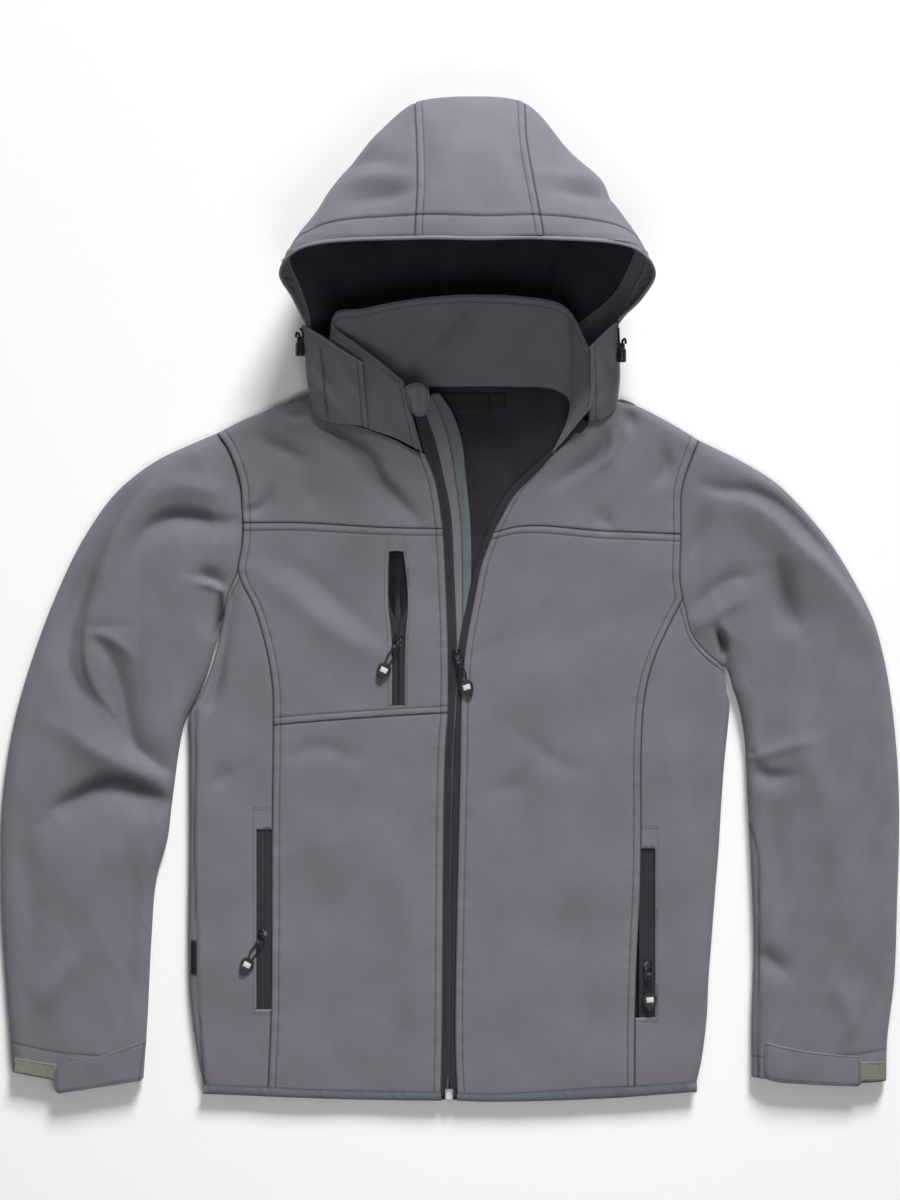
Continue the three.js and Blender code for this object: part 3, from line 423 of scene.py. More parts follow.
# Shade that gathers in pockets and in the deepest folds: line, half width, darkness
hollows = [
    ([(-386, -204), (-368, -192), (-346, -181), (-326, -181), (-302, -190), (-279, -199)], (7, 8), 0.62),
    ([(-350, -46), (-338, -66), (-333, -90), (-326, -122), (-314, -148)], (5, 9), 0.3),
    ([(-222, 80), (-250, 84), (-280, 84), (-298, 74)], (7, 6), 0.34),
    ([(-292, 132), (-322, 98), (-343, 62), (-355, 30), (-366, -6), (-374, -36)], (3, 7), 0.2),
    ([(329, 30), (333, 10), (339, -8), (346, -24)], (13, 10), 0.6),
    ([(282, 107), (306, 104), (328, 93), (350, 72)], 6, 0.24),
    ([(296, 19), (279, 15), (262, 4)], 6, 0.26), ([(300, -163), (318, -176), (342, -176)], 5, 0.24),
    ([(-90, 146), (-76, 128), (-64, 112), (-50, 98)], 8, 0.26),
    ([(150, 166), (150, 150), (136, 136)], 7, 0.3),
    ([(-189, 160), (-170, 152)], 5, 0.2), ([(214, 150), (213, 132)], 6, 0.2),
    ([(-222, -60), (-232, -96)], 5, 0.3),
    ([(-229, 3), (-229.5, -8), (-231, -22), (-234, -34)], 3.8, 1),
    ([(267, -28), (270, -42), (274, -58)], (5, 3), 1),
    ([(-124, 176), (-113, 166), (-98, 157), (-84, 150)], 6, 0.6),
]


def hollow_shade(xy):
    """How dark the deep pockets are at each place."""
    return fold_heights(hollows, xy)


def edge_distance(xy):
    """Distance of each place from the nearest rolled edge of the body."""
    return np.minimum.reduce([nearest(line, xy)[0] for line in roll_lines])


def front_height(xy):
    """Height of the fronts' outer face, with their folds."""
    roll = rolled(edge_distance(xy), ROLL)
    lift = fold_heights(torso_folds, xy) + waves(xy, 120, 0.7, 3) + waves(xy, 45, 0.22, 4)
    return MEET + 0.1 + (TORSO - MEET) * roll + lift * roll


def back_height(xy):
    """Height of the back's outer face: on the surface, and up at its edges."""
    return (MEET - 0.1) * (1 - rolled(edge_distance(xy), ROLL))


# Cloth pieces

def new_object(name, vertices, faces, materials):
    """A mesh object of the jacket itself, from vertices in metres."""
    mesh = bpy.data.meshes.new(name)
    mesh.from_pydata(vertices, [], faces)
    made = bpy.data.objects.new(name, mesh)
    bpy.context.scene.collection.objects.link(made)
    for material in materials:
        mesh.materials.append(material)
    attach(made, BODY)
    return made


def alone(piece):
    """Selects one piece and nothing else."""
    bpy.ops.object.select_all(action="DESELECT")
    bpy.context.view_layer.objects.active = piece
    piece.select_set(True)
    return piece


def lay_flat(mesh, flat):
    """Gives each vertex of a mesh its place in mm on the flat cloth, for the weave."""
    layer = mesh.uv_layers.new(name="cloth")
    vertex = np.empty(len(mesh.loops), int)
    mesh.loops.foreach_get("vertex_index", vertex)
    layer.data.foreach_set("uv", flat[vertex].ravel())


def shell(name, outer, side, thickness=CLOTH, materials=(softshell, fleece), painted_shade=None,
          facing=None):
    """Thin closed wall on a net of outer points in mm. side is 1 where rows x columns face out.

    The painted shade is how dark each point is painted as shade, in a seam, along a stitch line or in a
    deep fold;
    facing is how many mm each point lies inside the border of the outer cloth that is turned in there. A
    piece with a facing has lined rims.
    """
    rows, cols = outer.shape[:2]
    across = np.gradient(outer, axis=1)
    up = np.gradient(outer, axis=0)
    normal = unit(np.cross(across, up))
    inner = outer - side * thickness * normal
    if outer[..., 2].min() < 1.0:
        inner[..., 2] = np.maximum(inner[..., 2], 0)
    index = np.arange(rows * cols).reshape(rows, cols)
    below = index + rows * cols
    a, b, c, d = index[:-1, :-1], index[:-1, 1:], index[1:, 1:], index[1:, :-1]
    face = np.stack([a, b, c, d], -1).reshape(-1, 4)
    back = np.stack([a, d, c, b], -1).reshape(-1, 4) + rows * cols
    rims = []
    for line, under in ((index[0], below[0]), (index[:, -1], below[:, -1]),
                        (index[-1, ::-1], below[-1, ::-1]), (index[::-1, 0], below[::-1, 0])):
        rims.append(np.stack([line[1:], line[:-1], under[:-1], under[1:]], -1))
    rim = np.vstack(rims)
    if side < 0:
        face, back, rim = face[:, ::-1], back[:, ::-1], rim[:, ::-1]
    faces = np.vstack([face, back, rim])
    vertices = np.vstack([outer.reshape(-1, 3), inner.reshape(-1, 3)]) * MM
    made = new_object(name, vertices.tolist(), faces.tolist(), materials)
    mesh = made.data
    lining = np.zeros(len(faces), int)
    if len(materials) > 1:
        lining[len(face):len(face) + len(back)] = 1
    if facing is not None:
        lining[len(face) + len(back):] = 1
        turned = np.concatenate([np.zeros(rows * cols), np.clip(facing / TURNED_IN + 0.5, 0, 1).ravel()])
        mesh.attributes.new("turned", "FLOAT", "POINT").data.foreach_set("value", turned)
    # painted shade: each outer point's darkness in seams, stitch lines and deep folds, stored for the cloth
    # material
    if painted_shade is not None:
        values = np.concatenate([painted_shade.ravel(), np.zeros(rows * cols)])
        mesh.attributes.new("painted_shade", "FLOAT", "POINT").data.foreach_set("value", values)
    mesh.polygons.foreach_set("material_index", lining)
    smooth = np.ones(len(faces), bool)
    smooth[len(face) + len(back):] = False
    mesh.polygons.foreach_set("use_smooth", smooth)
    wide = np.cumsum(np.linalg.norm(np.diff(outer, axis=1, prepend=outer[:, :1]), axis=2), axis=1)
    tall = np.cumsum(np.linalg.norm(np.diff(outer, axis=0, prepend=outer[:1]), axis=2), axis=0)
    flat = np.stack([wide, tall], -1).reshape(-1, 2)
    lay_flat(mesh, np.vstack([flat, flat]))
    mesh.update()
    return made


def sheet(outer, nodes):
    """Measures the piece's flat size and its area on its outer face, which nothing uses further, and hides
    the nodes it stands for.
    """
    wide = np.linalg.norm(np.diff(outer, axis=1), axis=2).sum(1)
    tall = np.linalg.norm(np.diff(outer, axis=0), axis=2).sum(0)
    across = outer[:-1, 1:] - outer[:-1, :-1]
    up = outer[1:, :-1] - outer[:-1, :-1]
    area = np.linalg.norm(np.cross(across, up), axis=2).sum() * MM * MM
    width, length = wide.max() * MM, tall.max() * MM
    if area > width * length:
        width = area / length * 1.001
    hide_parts(*nodes)


# One stitch: spacing along its row, length, width, height and how deep its ends sink in
PITCH, STITCH, THREAD, STAND, SINK = 3.1, 2.3, 0.7, 0.4, 0.12
stitch_parts = []


def sew(path, out=(0.0, 0.0, 1.0)):
    """Lays a row of thread stitches along a 3-D path in mm, on the side that out points to."""
    total = reach(path)[-1]
    count = max(1, int(total / PITCH))
    middles = (np.arange(count) + 0.5) / count
    half = STITCH / 2 / total
    a = at(path, np.clip(middles - half, 0, 1))
    b = at(path, np.clip(middles + half, 0, 1))
    faces = np.broadcast_to(np.asarray(out, float), path.shape)
    outward = np.column_stack([np.interp(middles, np.linspace(0, 1, len(path)), faces[:, k])
                               for k in range(3)])
    stitch_parts.append((a, b, outward))


def sew_all(name):
    """Makes every laid stitch, as one mesh of small tapered bars."""
    vertices, faces = [], []
    for a, b, outward in stitch_parts:
        run = unit(b - a)
        side = unit(np.cross(run, outward))
        up = np.cross(side, run)
        mid = (a + b) / 2
        ring = []
        for centre, scale in ((a, 0.35), (mid, 1.0), (b, 0.35)):
            half, low = side * THREAD / 2 * scale, up * SINK
            ring += [centre - half - low, centre + up * STAND * scale, centre + half - low]
        block = np.stack(ring, 1)
        base = sum(len(v) for v in vertices) + np.arange(len(a))[:, None] * 9
        pattern = [(0, 3, 4, 1), (1, 4, 5, 2), (2, 5, 3, 0), (3, 6, 7, 4), (4, 7, 8, 5), (5, 8, 6, 3)]
        faces += [tuple(row) for quad in pattern for row in (base + np.array(quad)).tolist()]
        faces += [tuple(row) for tri in ((0, 1, 2), (8, 7, 6)) for row in (base + np.array(tri)).tolist()]
        vertices.append(block.reshape(-1, 3))
    made = new_object(name, (np.vstack(vertices) * MM).tolist(), faces, [thread])
    made.data.uv_layers.new(name="cloth")
    stitch_parts.clear()
    return made


# Distances from a border at which a net has lines, for each kind of border
SEAM_GAP = 0.12      # how far a panel stops short of its seam line
SEAM = (0, 0.5, 1.2, 2.4)
TOP = (0, 0.5, 1.2, 2.4, 4.2, 5.8, 6.6, STITCH_IN, 7.8, 8.6, 10.5)
BRIM = 22.0          # width of the band round the hood's opening
BAND = (0, 1.5, 4, 7, 10, 13, 16, 18.5, 20.4, 21.3, BRIM, 22.8, 24, 26.5)
ROLLED = tuple(ROLL * (1 - math.cos(math.pi / 2 * k / 7)) for k in range(8))
PLAIN = (0, 2.0)
TAB_STITCH = 2.5     # distance of the stitching from a small flap's edge
SMALL = (0, 0.35, 0.9, 1.7, TAB_STITCH, 3.3, 5)
OFFSETS = {"seam": SEAM, "top": TOP, "roll": ROLLED, "plain": PLAIN, "brim": BAND, "tab": SMALL}
STITCHED = {"top": STITCH_IN, "brim": BRIM, "tab": TAB_STITCH}


def border_relief(kind, distance, along, seed):
    """Height that a border adds: a soft dip at a seam, a groove and small puckers at a topstitch."""
    if kind in ("roll", "plain"):
        return 0
    if kind == "brim":
        band = (np.sin(np.pi * np.clip(distance / BRIM, 0, 1))
                + 0.5 * bell(distance - BRIM, 2, 3))
        return band - 1.0 * bell(distance, 0.9, BRIM)
    if kind == "tab":
        return -0.9 * bell(distance, 0.7) - 0.35 * bell(distance, 0.6, TAB_STITCH)
    relief = -0.8 * bell(distance, 0.8)
    if kind == "top":
        draw = np.random.default_rng(seed)
        ripple = sum(np.sin(along * 2 * math.pi / draw.uniform(11, 26) + draw.uniform(0, 6))
                     for _ in range(4))
        relief = relief + 0.35 * bell(distance, 2.4, 3.7)
        relief = relief - 0.45 * bell(distance, 0.8, STITCH_IN)
        relief = relief + 0.11 * ripple * bell(distance, 6, 7)
    return relief


def border_painted_shade(kind, distance):
    """How much painted shade a border's seam and stitch line get."""
    if kind in ("roll", "plain"):
        return 0 * distance
    if kind == "tab":
        return 0.45 * bell(distance, 0.6, TAB_STITCH)
    dark = 0.85 * bell(distance, 0.9)
    if kind == "top":
        dark = dark + 0.5 * bell(distance, 0.65, STITCH_IN)
    if kind == "brim":
        dark = 0.8 * bell(distance, 0.8, BRIM) + 0.7 * bell(distance, 0.8, 0.7)
    return dark


def seam_dip(lines, xy):
    """Relief and painted shade of seams that cross a piece."""
    if not lines:
        return np.zeros(xy.shape[:-1]), np.zeros(xy.shape[:-1])
    gap = np.minimum.reduce([nearest(spline(line), xy)[0] for line in lines])
    relief = -0.7 * bell(gap, 1.3) + 0.25 * bell(gap, 2, 3.5)
    return relief, 0.8 * bell(gap, 1.1)


def panel(name, bottom, top, left, right, kinds, height_at, side=1, step=3.6, rows_step=None,
          seams=()):
    """One flat-lying panel between four plan lines. kinds names its bottom, top, left and right borders."""
    low, high, near, far = kinds
    tall = (reach(left)[-1] + reach(right)[-1]) / 2
    wide = (reach(bottom)[-1] + reach(top)[-1]) / 2
    v = positions(tall, OFFSETS[low], OFFSETS[high], int(tall / (rows_step or step))) / tall
    width_at = np.linalg.norm(at(right, v) - at(left, v), axis=1)
    cols = int(wide / step)
    across = np.stack([positions(w, OFFSETS[near], OFFSETS[far], cols) for w in width_at])
    u = across / width_at[:, None]
    plan = coons(bottom, top, left, right, u, v)
    up = (v * tall)[:, None] + across * 0
    z = height_at(plan)
    edges = ((low, up, across), (high, tall - up, across), (near, across, up),
             (far, width_at[:, None] - across, up))
    if side > 0:
        for number, (kind, distance, along) in enumerate(edges):
            z = z + border_relief(kind, distance, along, sum(map(ord, name)) + number)
    dip, dark = seam_dip(seams, plan)
    outer = np.dstack([plan, z + dip])
    # painted shade in the seams, along the borders' seams and stitch lines, and in the deep pockets
    painted_shade = dark + hollow_shade(plan) + sum(border_painted_shade(kind, distance) for kind, distance, _ in edges)
    inset = [(outer[0], outer[1]), (outer[-1], outer[-2]), (outer[:, 0], outer[:, 1]),
             (outer[:, -1], outer[:, -2])]
    for (rim, inside), kind in zip(inset, (low, high, near, far)):
        if kind != "roll":
            rim += unit(inside - rim) * SEAM_GAP
    made = shell(name, outer, side, painted_shade=np.clip(painted_shade, 0, 1) if side > 0 else None)
    if side > 0:
        stitched = OFFSETS["top"].index(STITCH_IN)
        lines = {"bottom": outer[stitched], "top": outer[-1 - stitched], "left": outer[:, stitched],
                 "right": outer[:, -1 - stitched]}
        for (border, line), kind in zip(lines.items(), (low, high, near, far)):
            if kind == "top":
                sew(line)
    return made, outer


def join_lines(*lines):
    """One line from several that each start where the last one ends."""
    return np.vstack([lines[0], *[line[1:] for line in lines[1:]]])


def cut_away(piece, outline, floor=4, top=30):
    """Cuts a prism with this plan outline through a piece, from floor to top in mm."""
    count = len(outline)
    low, high = ([(x * MM, y * MM, z * MM) for x, y in outline] for z in (floor, top))
    faces = [tuple(range(count))[::-1], tuple(range(count, 2 * count))]
    faces += [(i, (i + 1) % count, count + (i + 1) % count, count + i) for i in range(count)]
    mesh = bpy.data.meshes.new("cutter")
    mesh.from_pydata(low + high, [], faces)
    cutter = bpy.data.objects.new("cutter", mesh)
    bpy.context.scene.collection.objects.link(cutter)
    modifier = piece.modifiers.new("cut", "BOOLEAN")
    modifier.operation = "DIFFERENCE"
    modifier.solver = "EXACT"
    modifier.object = cutter
    alone(piece)
    bpy.ops.object.modifier_apply(modifier=modifier.name)
    piece.select_set(False)
    bpy.data.objects.remove(cutter)


# Openings in the fronts for the chest zip and the hand pockets' zips
CHEST_SLOT = [(-59, -107), (-45, -107), (-44, -40), (-41.5, -8), (-43, 25), (-46, 49), (-62, 49), (-63, 25),
              (-62.5, -8), (-60, -30), (-59, -50)]
HAND_RIGHT = {"x0": -194.5, "x1": -178.4, "y0": -410, "y1": -229}
HAND_LEFT = {"x0": 191, "x1": 206, "y0": -418, "y1": -248}
# The side seam, which lies a little on the front at the wearer's right
SIDE_SEAM = [(-254, -110), (-254, -150), (-255.4, -250), (-253, -340), (-253, -375), (-251.4, -400),
             (-246.5, -485)]


def rectangle(x0, x1, y0, y1):
    """Corners of an upright rectangle."""
    return [(x0, y0), (x1, y0), (x1, y1), (x0, y1)]


def make_fronts():
    """The panels of both fronts, with the openings for the pocket zips."""
    right, left = HAND_RIGHT, HAND_LEFT
    # the hand pockets' openings run on past the princess seam
    openings = {
        "chest_panel_right": CHEST_SLOT,
        "side_front_right": rectangle(right["x0"], right["x1"] + 6, right["y0"], right["y1"]),
        "side_front_left": rectangle(left["x0"] - 12, left["x1"], left["y0"], left["y1"]),
    }
    # the side seam at the right needs a closer net
    extras = {"side_front_right": {"seams": [SIDE_SEAM], "step": 2.4, "rows_step": 3.8}}
    # each panel: its bottom, top, left and right line, and what those borders are
    panels = {
        "front_yoke_right": (yoke_right, spline(shoulder_right + neck_right),
                             stretch(armhole_right, YOKE_R, 0), edge_right[0][::-1],
                             ("seam", "roll", "top", "top")),
        "chest_panel_right": (pocket_seam, yoke_right,
                              join_lines(stretch(princess_right, POCKET, 0),
                                         stretch(armhole_right, PRINCESS_R, YOKE_R)),
                              edge_right[1][::-1], ("top", "top", "top", "top")),
        "front_lower_right": (hem_right, pocket_seam, stretch(princess_right, 1, POCKET),
                              edge_right[2][::-1], ("seam", "seam", "top", "top")),
        "front_yoke_left": (yoke_left, spline(neck_left + shoulder_left), edge_left[0][::-1],
                            stretch(armhole_left, YOKE_L, 0), ("seam", "roll", "top", "top")),
        "front_left": (hem_left, yoke_left, edge_left[1][::-1],
                       join_lines(stretch(princess_left, 1, 0), stretch(armhole_left, PRINCESS_L, YOKE_L)),
                       ("seam", "top", "top", "top")),
        "side_front_right": (spline([(-247, -485), (-215, -487), (-182, -488)]),
                             stretch(armhole_right, 1, PRINCESS_R), side_right[::-1],
                             princess_right[::-1], ("seam", "top", "roll", "seam")),
        "side_front_left": (spline([(184.6, -487), (215, -485), (247, -482)]),
                            stretch(armhole_left, PRINCESS_L, 1), princess_left[::-1],
                            side_left[::-1], ("seam", "top", "seam", "roll")),
    }
    for name, (*borders, kinds) in panels.items():
        piece, net = panel(f"{name}_cloth", *borders, kinds, front_height, **extras.get(name, {}))
        if name in openings:
            cut_away(piece, openings[name])
        sheet(net, [name])


BACK_TOP = shoulder_right + [(-118, 208), (-90, 212), (-30, 214), (50, 214), (110, 212),
                             (140, 207)] + shoulder_left
BACK_HEM = [(-247, -485), (-150, -490), (-60, -493), (60, -493), (150, -488), (247, -482)]


def make_back():
    """The back, one panel that lies on the surface and rolls up at its edges."""
    piece, net = panel("back_panel_cloth", spline(BACK_HEM), spline(BACK_TOP),
                       join_lines(side_right[::-1], armhole_right[::-1]),
                       join_lines(side_left[::-1], armhole_left[::-1]),
                       ("plain", "roll", "roll", "roll"), back_height, side=-1, step=7)
    sheet(net, ["back_panel"])


# Sleeves

ARMHOLE_DIP = 2.2    # how far the sleeve's head lies below the body's cloth
HEAD = 30.0          # distance from the armhole at which a sleeve is at its full height
CUFF_HEM = 26.0      # distance of the cuff's hem stitching from its edge
sleeve_rows = {
    "right": {
        "armhole": armhole_right, "cap": 9 / 12,
        "outer": [(-233, 167), (-250, 160), (-293, 140), (-321, 120), (-341, 100), (-368, 60), (-388, 20),
                  (-412, -40), (-436, -120), (-448, -200), (-450, -260), (-449, -320), (-445, -380),
                  (-438, -472)],
        "inner": [(-227, -17), (-234, -43), (-244, -77), (-254, -99), (-265, -121), (-270, -142),
                  (-278, -200), (-283, -240), (-294, -280), (-299, -340), (-303, -420), (-307, -479)],
        "cuff": [(-438, -472), (-395, -479), (-350, -480), (-307, -479)], "seams": [],
        "folds": [
            # the long crease from the shoulder to the elbow and the valley outside it
            ([(-276, 144), (-289, 125), (-308, 102), (-324, 79), (-337, 55), (-348, 29), (-356, 2),
              (-362, -22), (-364, -41), (-363, -62), (-358, -81), (-343, -105)], (26, 3.5), 7.4),
            ([(-292, 141), (-318, 112), (-340, 78), (-356, 42), (-369, 4), (-379, -30), (-381, -60),
              (-374, -84), (-356, -106)], (7, 15), -6.4),
            # the trough that comes out of the armhole, under a ridge
            ([(-214, 79), (-236, 78), (-257, 83), (-279, 83), (-292, 78), (-303, 69), (-314, 52)], (14, 7),
             -7.6),
            ([(-222, 104), (-250, 112), (-280, 112), (-306, 94)], 14, 3.6),
            # under the arm
            ([(-256, 24), (-240, 22), (-226, 14)], (9, 4), -6.6),
            ([(-252, 17), (-237, 14), (-226, 8)], 3, 3.3),
            ([(-229, 4), (-229.5, -8), (-231, -22), (-235, -36)], 3.2, -8.2),
            ([(-309.4, 39), (-310.7, -28), (-308, -103)], 1.8, -0.8),
            # elbow
            ([(-356, -38), (-344, -52), (-335, -71), (-329, -95), (-324, -121), (-316, -146), (-300, -160),
              (-279, -172)], (13, 7), -9.4),
            ([(-362, -34), (-345, -36), (-328, -46), (-316, -58)], 6, 2.4),
            ([(-362, -28), (-343, -26), (-314, -26)], 4, -1.2),
            ([(-405, -121), (-380, -132), (-362, -145), (-340, -158), (-321, -168), (-300, -177),
              (-284, -184)], 15, 5.6),
            ([(-398, -212), (-385, -204), (-370, -196), (-348, -186), (-330, -186), (-305, -194),
              (-279, -202)], (8, 18), -9.8),
            # forearm
            ([(-300, -215), (-350, -260), (-380, -320), (-398, -380)], 20, 3.4),
            ([(-320, -250), (-318, -330), (-326, -420)], 16, -3),
            ([(-374, -352), (-392, -380), (-410, -412)], 12, 4.3),
            ([(-430, -240), (-418, -300), (-420, -370)], 14, -3),
        ],
    },
    "left": {
        "armhole": armhole_left, "cap": 12 / 15,
        "outer": [(249, 160), (290, 140), (323, 120), (345, 100), (379, 60), (404, 20), (424, -20),
                  (435, -60), (442, -100), (448, -160), (450, -220), (448, -300), (445, -380), (438, -440),
                  (437, -481)],
        "inner": [(275.5, -66), (280, -76), (283, -88), (288, -102), (292, -120), (295, -140), (298, -200),
                  (301, -260), (304, -350), (302, -420), (302, -477)],
        "cuff": [(437, -481), (395, -483), (345, -481), (302, -477)],
        "seams": [[(300, -225), (307, -250), (309, -320), (308.5, -456), (308, -478)]],
        "folds": [
            # the crease over the shoulder and the trough outside it
            ([(282, 102), (301, 97), (322, 82), (339, 66), (355, 50), (371, 37), (387, 20), (403, -1),
              (422, -28), (430, -46)], (4, 24), 6.4),
            ([(255, 113), (278, 109), (301, 107), (322, 99), (344, 82), (363, 61), (381, 42), (397, 18)],
             (8, 6), -6.4),
            ([(266, 98), (250, 61), (240, 42)], 9, -4.3),
            # under the arm
            ([(301, 23), (282, 20), (261, 7), (242, -14)], (6, 10), -5.6),
            ([(298, 2), (280, -6), (258, -20), (245, -30)], 5, 2.2),
            ([(326, 42), (333, 12), (341, -12), (351, -32)], 14, -10),
            ([(268, -31), (273, -44), (275, -58)], 4, -9.4),
            # elbow
            ([(297, -161), (317, -175), (344, -175)], (6, 9), -5),
            ([(298, -158), (312, -155), (344, -145), (371, -140)], 6, 2.4),
            ([(296, -150), (306, -156)], 2.6, -2.6), ([(297, -166), (308, -170)], 2.6, 2.3),
            # forearm
            ([(330, -90), (374, -200), (395, -330)], 22, 4.9),
            ([(310, -350), (322, -362), (338, -374)], 10, -5.6),
            ([(316, -200), (330, -270), (336, -340)], 16, -3.6),
            ([(425, -150), (420, -230), (424, -320)], 14, -3),
            ([(384, -380), (398, -410), (404, -440)], 12, 3.6),
        ],
    },
}
sleeve_tops = {}     # height function of each sleeve's upper side, for what lies on the cuff


def make_sleeve(side):
    """One sleeve: its upper side with folds and cuff hem, and its plain under side."""
    row = sleeve_rows[side]
    handed = 1 if side == "right" else -1
    armhole = row["armhole"]
    outer_line = spline(row["outer"])
    inner_line = join_lines(stretch(armhole, row["cap"], 0.985), spline(row["inner"]))
    cap = stretch(armhole, 0, row["cap"])
    cuff = spline(row["cuff"])
    free = [outer_line, spline(row["inner"])]

    def upper(xy):
        edge = np.minimum(nearest(free[0], xy)[0], nearest(free[1], xy)[0])
        roll = rolled(edge, SLEEVE_ROLL)
        from_seam = nearest(armhole, xy)[0]
        head = TORSO - ARMHOLE_DIP
        loft = head + (SLEEVE - head) * np.clip(from_seam / HEAD, 0, 1)
        lift = fold_heights(row["folds"], xy) + waves(xy, 90, 0.8, 5 + handed)
        lift += waves(xy, 38, 0.25, 8 + handed)
        return MEET + 0.1 + (loft - MEET + lift * np.clip(from_seam / 7, 0, 1)) * roll

    def under(xy):
        edge = np.minimum(nearest(free[0], xy)[0], nearest(free[1], xy)[0])
        return (MEET - 0.1) * (1 - rolled(edge, SLEEVE_ROLL))

    tall = (reach(outer_line)[-1] + reach(inner_line)[-1]) / 2
    roll_steps = tuple(SLEEVE_ROLL * (1 - math.cos(math.pi / 2 * k / 8)) for k in range(9))
    hem_steps = (0, 2, 8, 14, 20, 24, 25.2, CUFF_HEM, 26.8, 28, 30)
    # each side of the sleeve: its height, the way it faces, its spacing of rows and number of columns
    for part, height_at, faces, step, columns in (("upper", upper, -handed, 3.1, 52),
                                                  ("under", under, handed, 6, 24)):
        v = positions(tall, (0, 1, 2.5), hem_steps, int(tall / step)) / tall
        width_at = np.linalg.norm(at(inner_line, v) - at(outer_line, v), axis=1)
        across = np.stack([positions(w, roll_steps, roll_steps, columns) for w in width_at])
        plan = coons(cap, cuff, outer_line, inner_line, across / width_at[:, None], v)
        from_cuff = (1 - v[:, None]) * tall
        outer = np.dstack([plan, height_at(plan)])
        painted_shade = None
        if part == "upper":
            dip, dark = seam_dip(row["seams"], plan)
            outer[..., 2] += dip - 0.4 * bell(from_cuff, 1.0, CUFF_HEM)
            # painted shade in the seams, the deep pockets, along the cuff's hem stitching and round the
            # armhole seam
            painted_shade = dark + hollow_shade(plan) + 0.4 * bell(from_cuff, 0.8, CUFF_HEM)
            painted_shade = np.clip(painted_shade + 0.9 * bell(nearest(armhole, plan)[0], 1.0), 0, 1)
            hem_row = int(np.abs(from_cuff[:, 0] - CUFF_HEM).argmin())
            sew(outer[hem_row, 6:-6])
        piece = shell(f"sleeve_{part}_{side}_cloth", outer, faces, painted_shade=painted_shade)
        sheet(outer, [f"sleeve_{part}_{side}"])
    sleeve_tops[side] = upper


# Standing pieces: hood, collar and flaps

def resample(lines, start, end, steps):
    """Points on each line at the offsets of its two borders, with their distances from both ends."""
    made = []
    for line in lines:
        s = reach(line[:, :3])
        places = positions(s[-1], OFFSETS[start], OFFSETS[end], steps)
        channels = [np.interp(places, s, line[:, k]) for k in range(line.shape[1])]
        made.append(np.column_stack([*channels, places, s[-1] - places]))
    return np.stack(made)


def tile(dense, kinds, step=4.5):
    """A dense net laid out again in rows and columns that follow its borders.

    Returns the points and the distances from the bottom, top, left and right borders.
    """
    low, high, near, far = kinds
    tall = np.mean([reach(column)[-1] for column in dense.transpose(1, 0, 2)])
    wide = np.mean([reach(row)[-1] for row in dense])
    rows = resample(dense.transpose(1, 0, 2), low, high, max(2, int(tall / step))).transpose(1, 0, 2)
    net = resample(rows, near, far, max(2, int(wide / step)))
    return net[..., :3], net[..., 3:].transpose(2, 0, 1)


def normals(net):
    """Unit normal at each point of a net."""
    return unit(np.cross(np.gradient(net, axis=1), np.gradient(net, axis=0)))


def standing(name, dense, kinds, side=1, thickness=CLOTH, materials=(softshell, fleece), step=4.5,
             shape=None, facing=None, both=False, seams=()):
    """A panel on a dense net of 3-D points, with seams and topstitching at its borders.

    shape(points, distances) adds folds, and facing(points, distances) is how far each point lies
    inside the turned-in cloth; both sews the same lines on the far side as well.
    """
    net, gaps = tile(dense, kinds, step)
    along = (gaps[2], gaps[2], gaps[0], gaps[0])
    seed = sum(map(ord, name))
    lift = sum(border_relief(kind, gap, run, seed + k)
               for k, (kind, gap, run) in enumerate(zip(kinds, gaps, along)))
    if shape is not None:
        lift = lift + shape(net, gaps)
    dip, dark = seam_dip(seams, net[..., :2])
    face = normals(net) * side
    outer = net + face * (lift + dip)[..., None]
    outer[..., 2] = np.maximum(outer[..., 2], 0)
    # painted shade in the seams and along the borders' seams and stitch lines
    painted_shade = np.clip(dark + sum(border_painted_shade(kind, gap) for kind, gap in zip(kinds, gaps)), 0, 1)
    made = shell(name, outer, side, thickness, materials, painted_shade=painted_shade,
                 facing=facing and facing(net, gaps))
    for border, kind in enumerate(kinds):
        if kind in STITCHED:
            index = OFFSETS[kind].index(STITCHED[kind])
            place = [index, -1 - index][border % 2]
            line = outer[place] if border < 2 else outer[:, place]
            back = face[place] if border < 2 else face[:, place]
            sew(line, out=back)
            if both:
                sew(line - back * thickness, out=-back)
    return made, outer


def sweep(name, path, profile, out, materials):
    """A closed profile carried along a path. out is the profile's second axis at each point."""
    tangent = unit(np.gradient(path, axis=0))
    out = np.broadcast_to(np.asarray(out, float), path.shape)
    across = unit(np.cross(tangent, out))
    out = np.cross(across, tangent)
    profile = np.asarray(profile, float)
    if profile.ndim == 2:
        profile = np.broadcast_to(profile, (len(path), *profile.shape))
    points = path[:, None] + across[:, None] * profile[..., :1] + out[:, None] * profile[..., 1:]
    count, ring = points.shape[:2]
    index = np.arange(count * ring).reshape(count, ring)
    after = np.roll(index, -1, axis=1)
    faces = np.stack([index[:-1], index[1:], after[1:], after[:-1]], -1).reshape(-1, 4).tolist()
    faces += [index[0].tolist(), index[-1, ::-1].tolist()]
    made = new_object(name, (points.reshape(-1, 3) * MM).tolist(), faces, materials)
    mesh = made.data
    run = reach(path)
    girth = np.concatenate([[0], np.cumsum(np.linalg.norm(np.diff(profile[0], axis=0), axis=1))])
    flat = np.stack(np.broadcast_arrays(girth, run[:, None]), -1)
    lay_flat(mesh, flat.reshape(-1, 2))
    mesh.polygons.foreach_set("use_smooth", [True] * len(faces))
    mesh.update()
    recalculate(made)
    return made


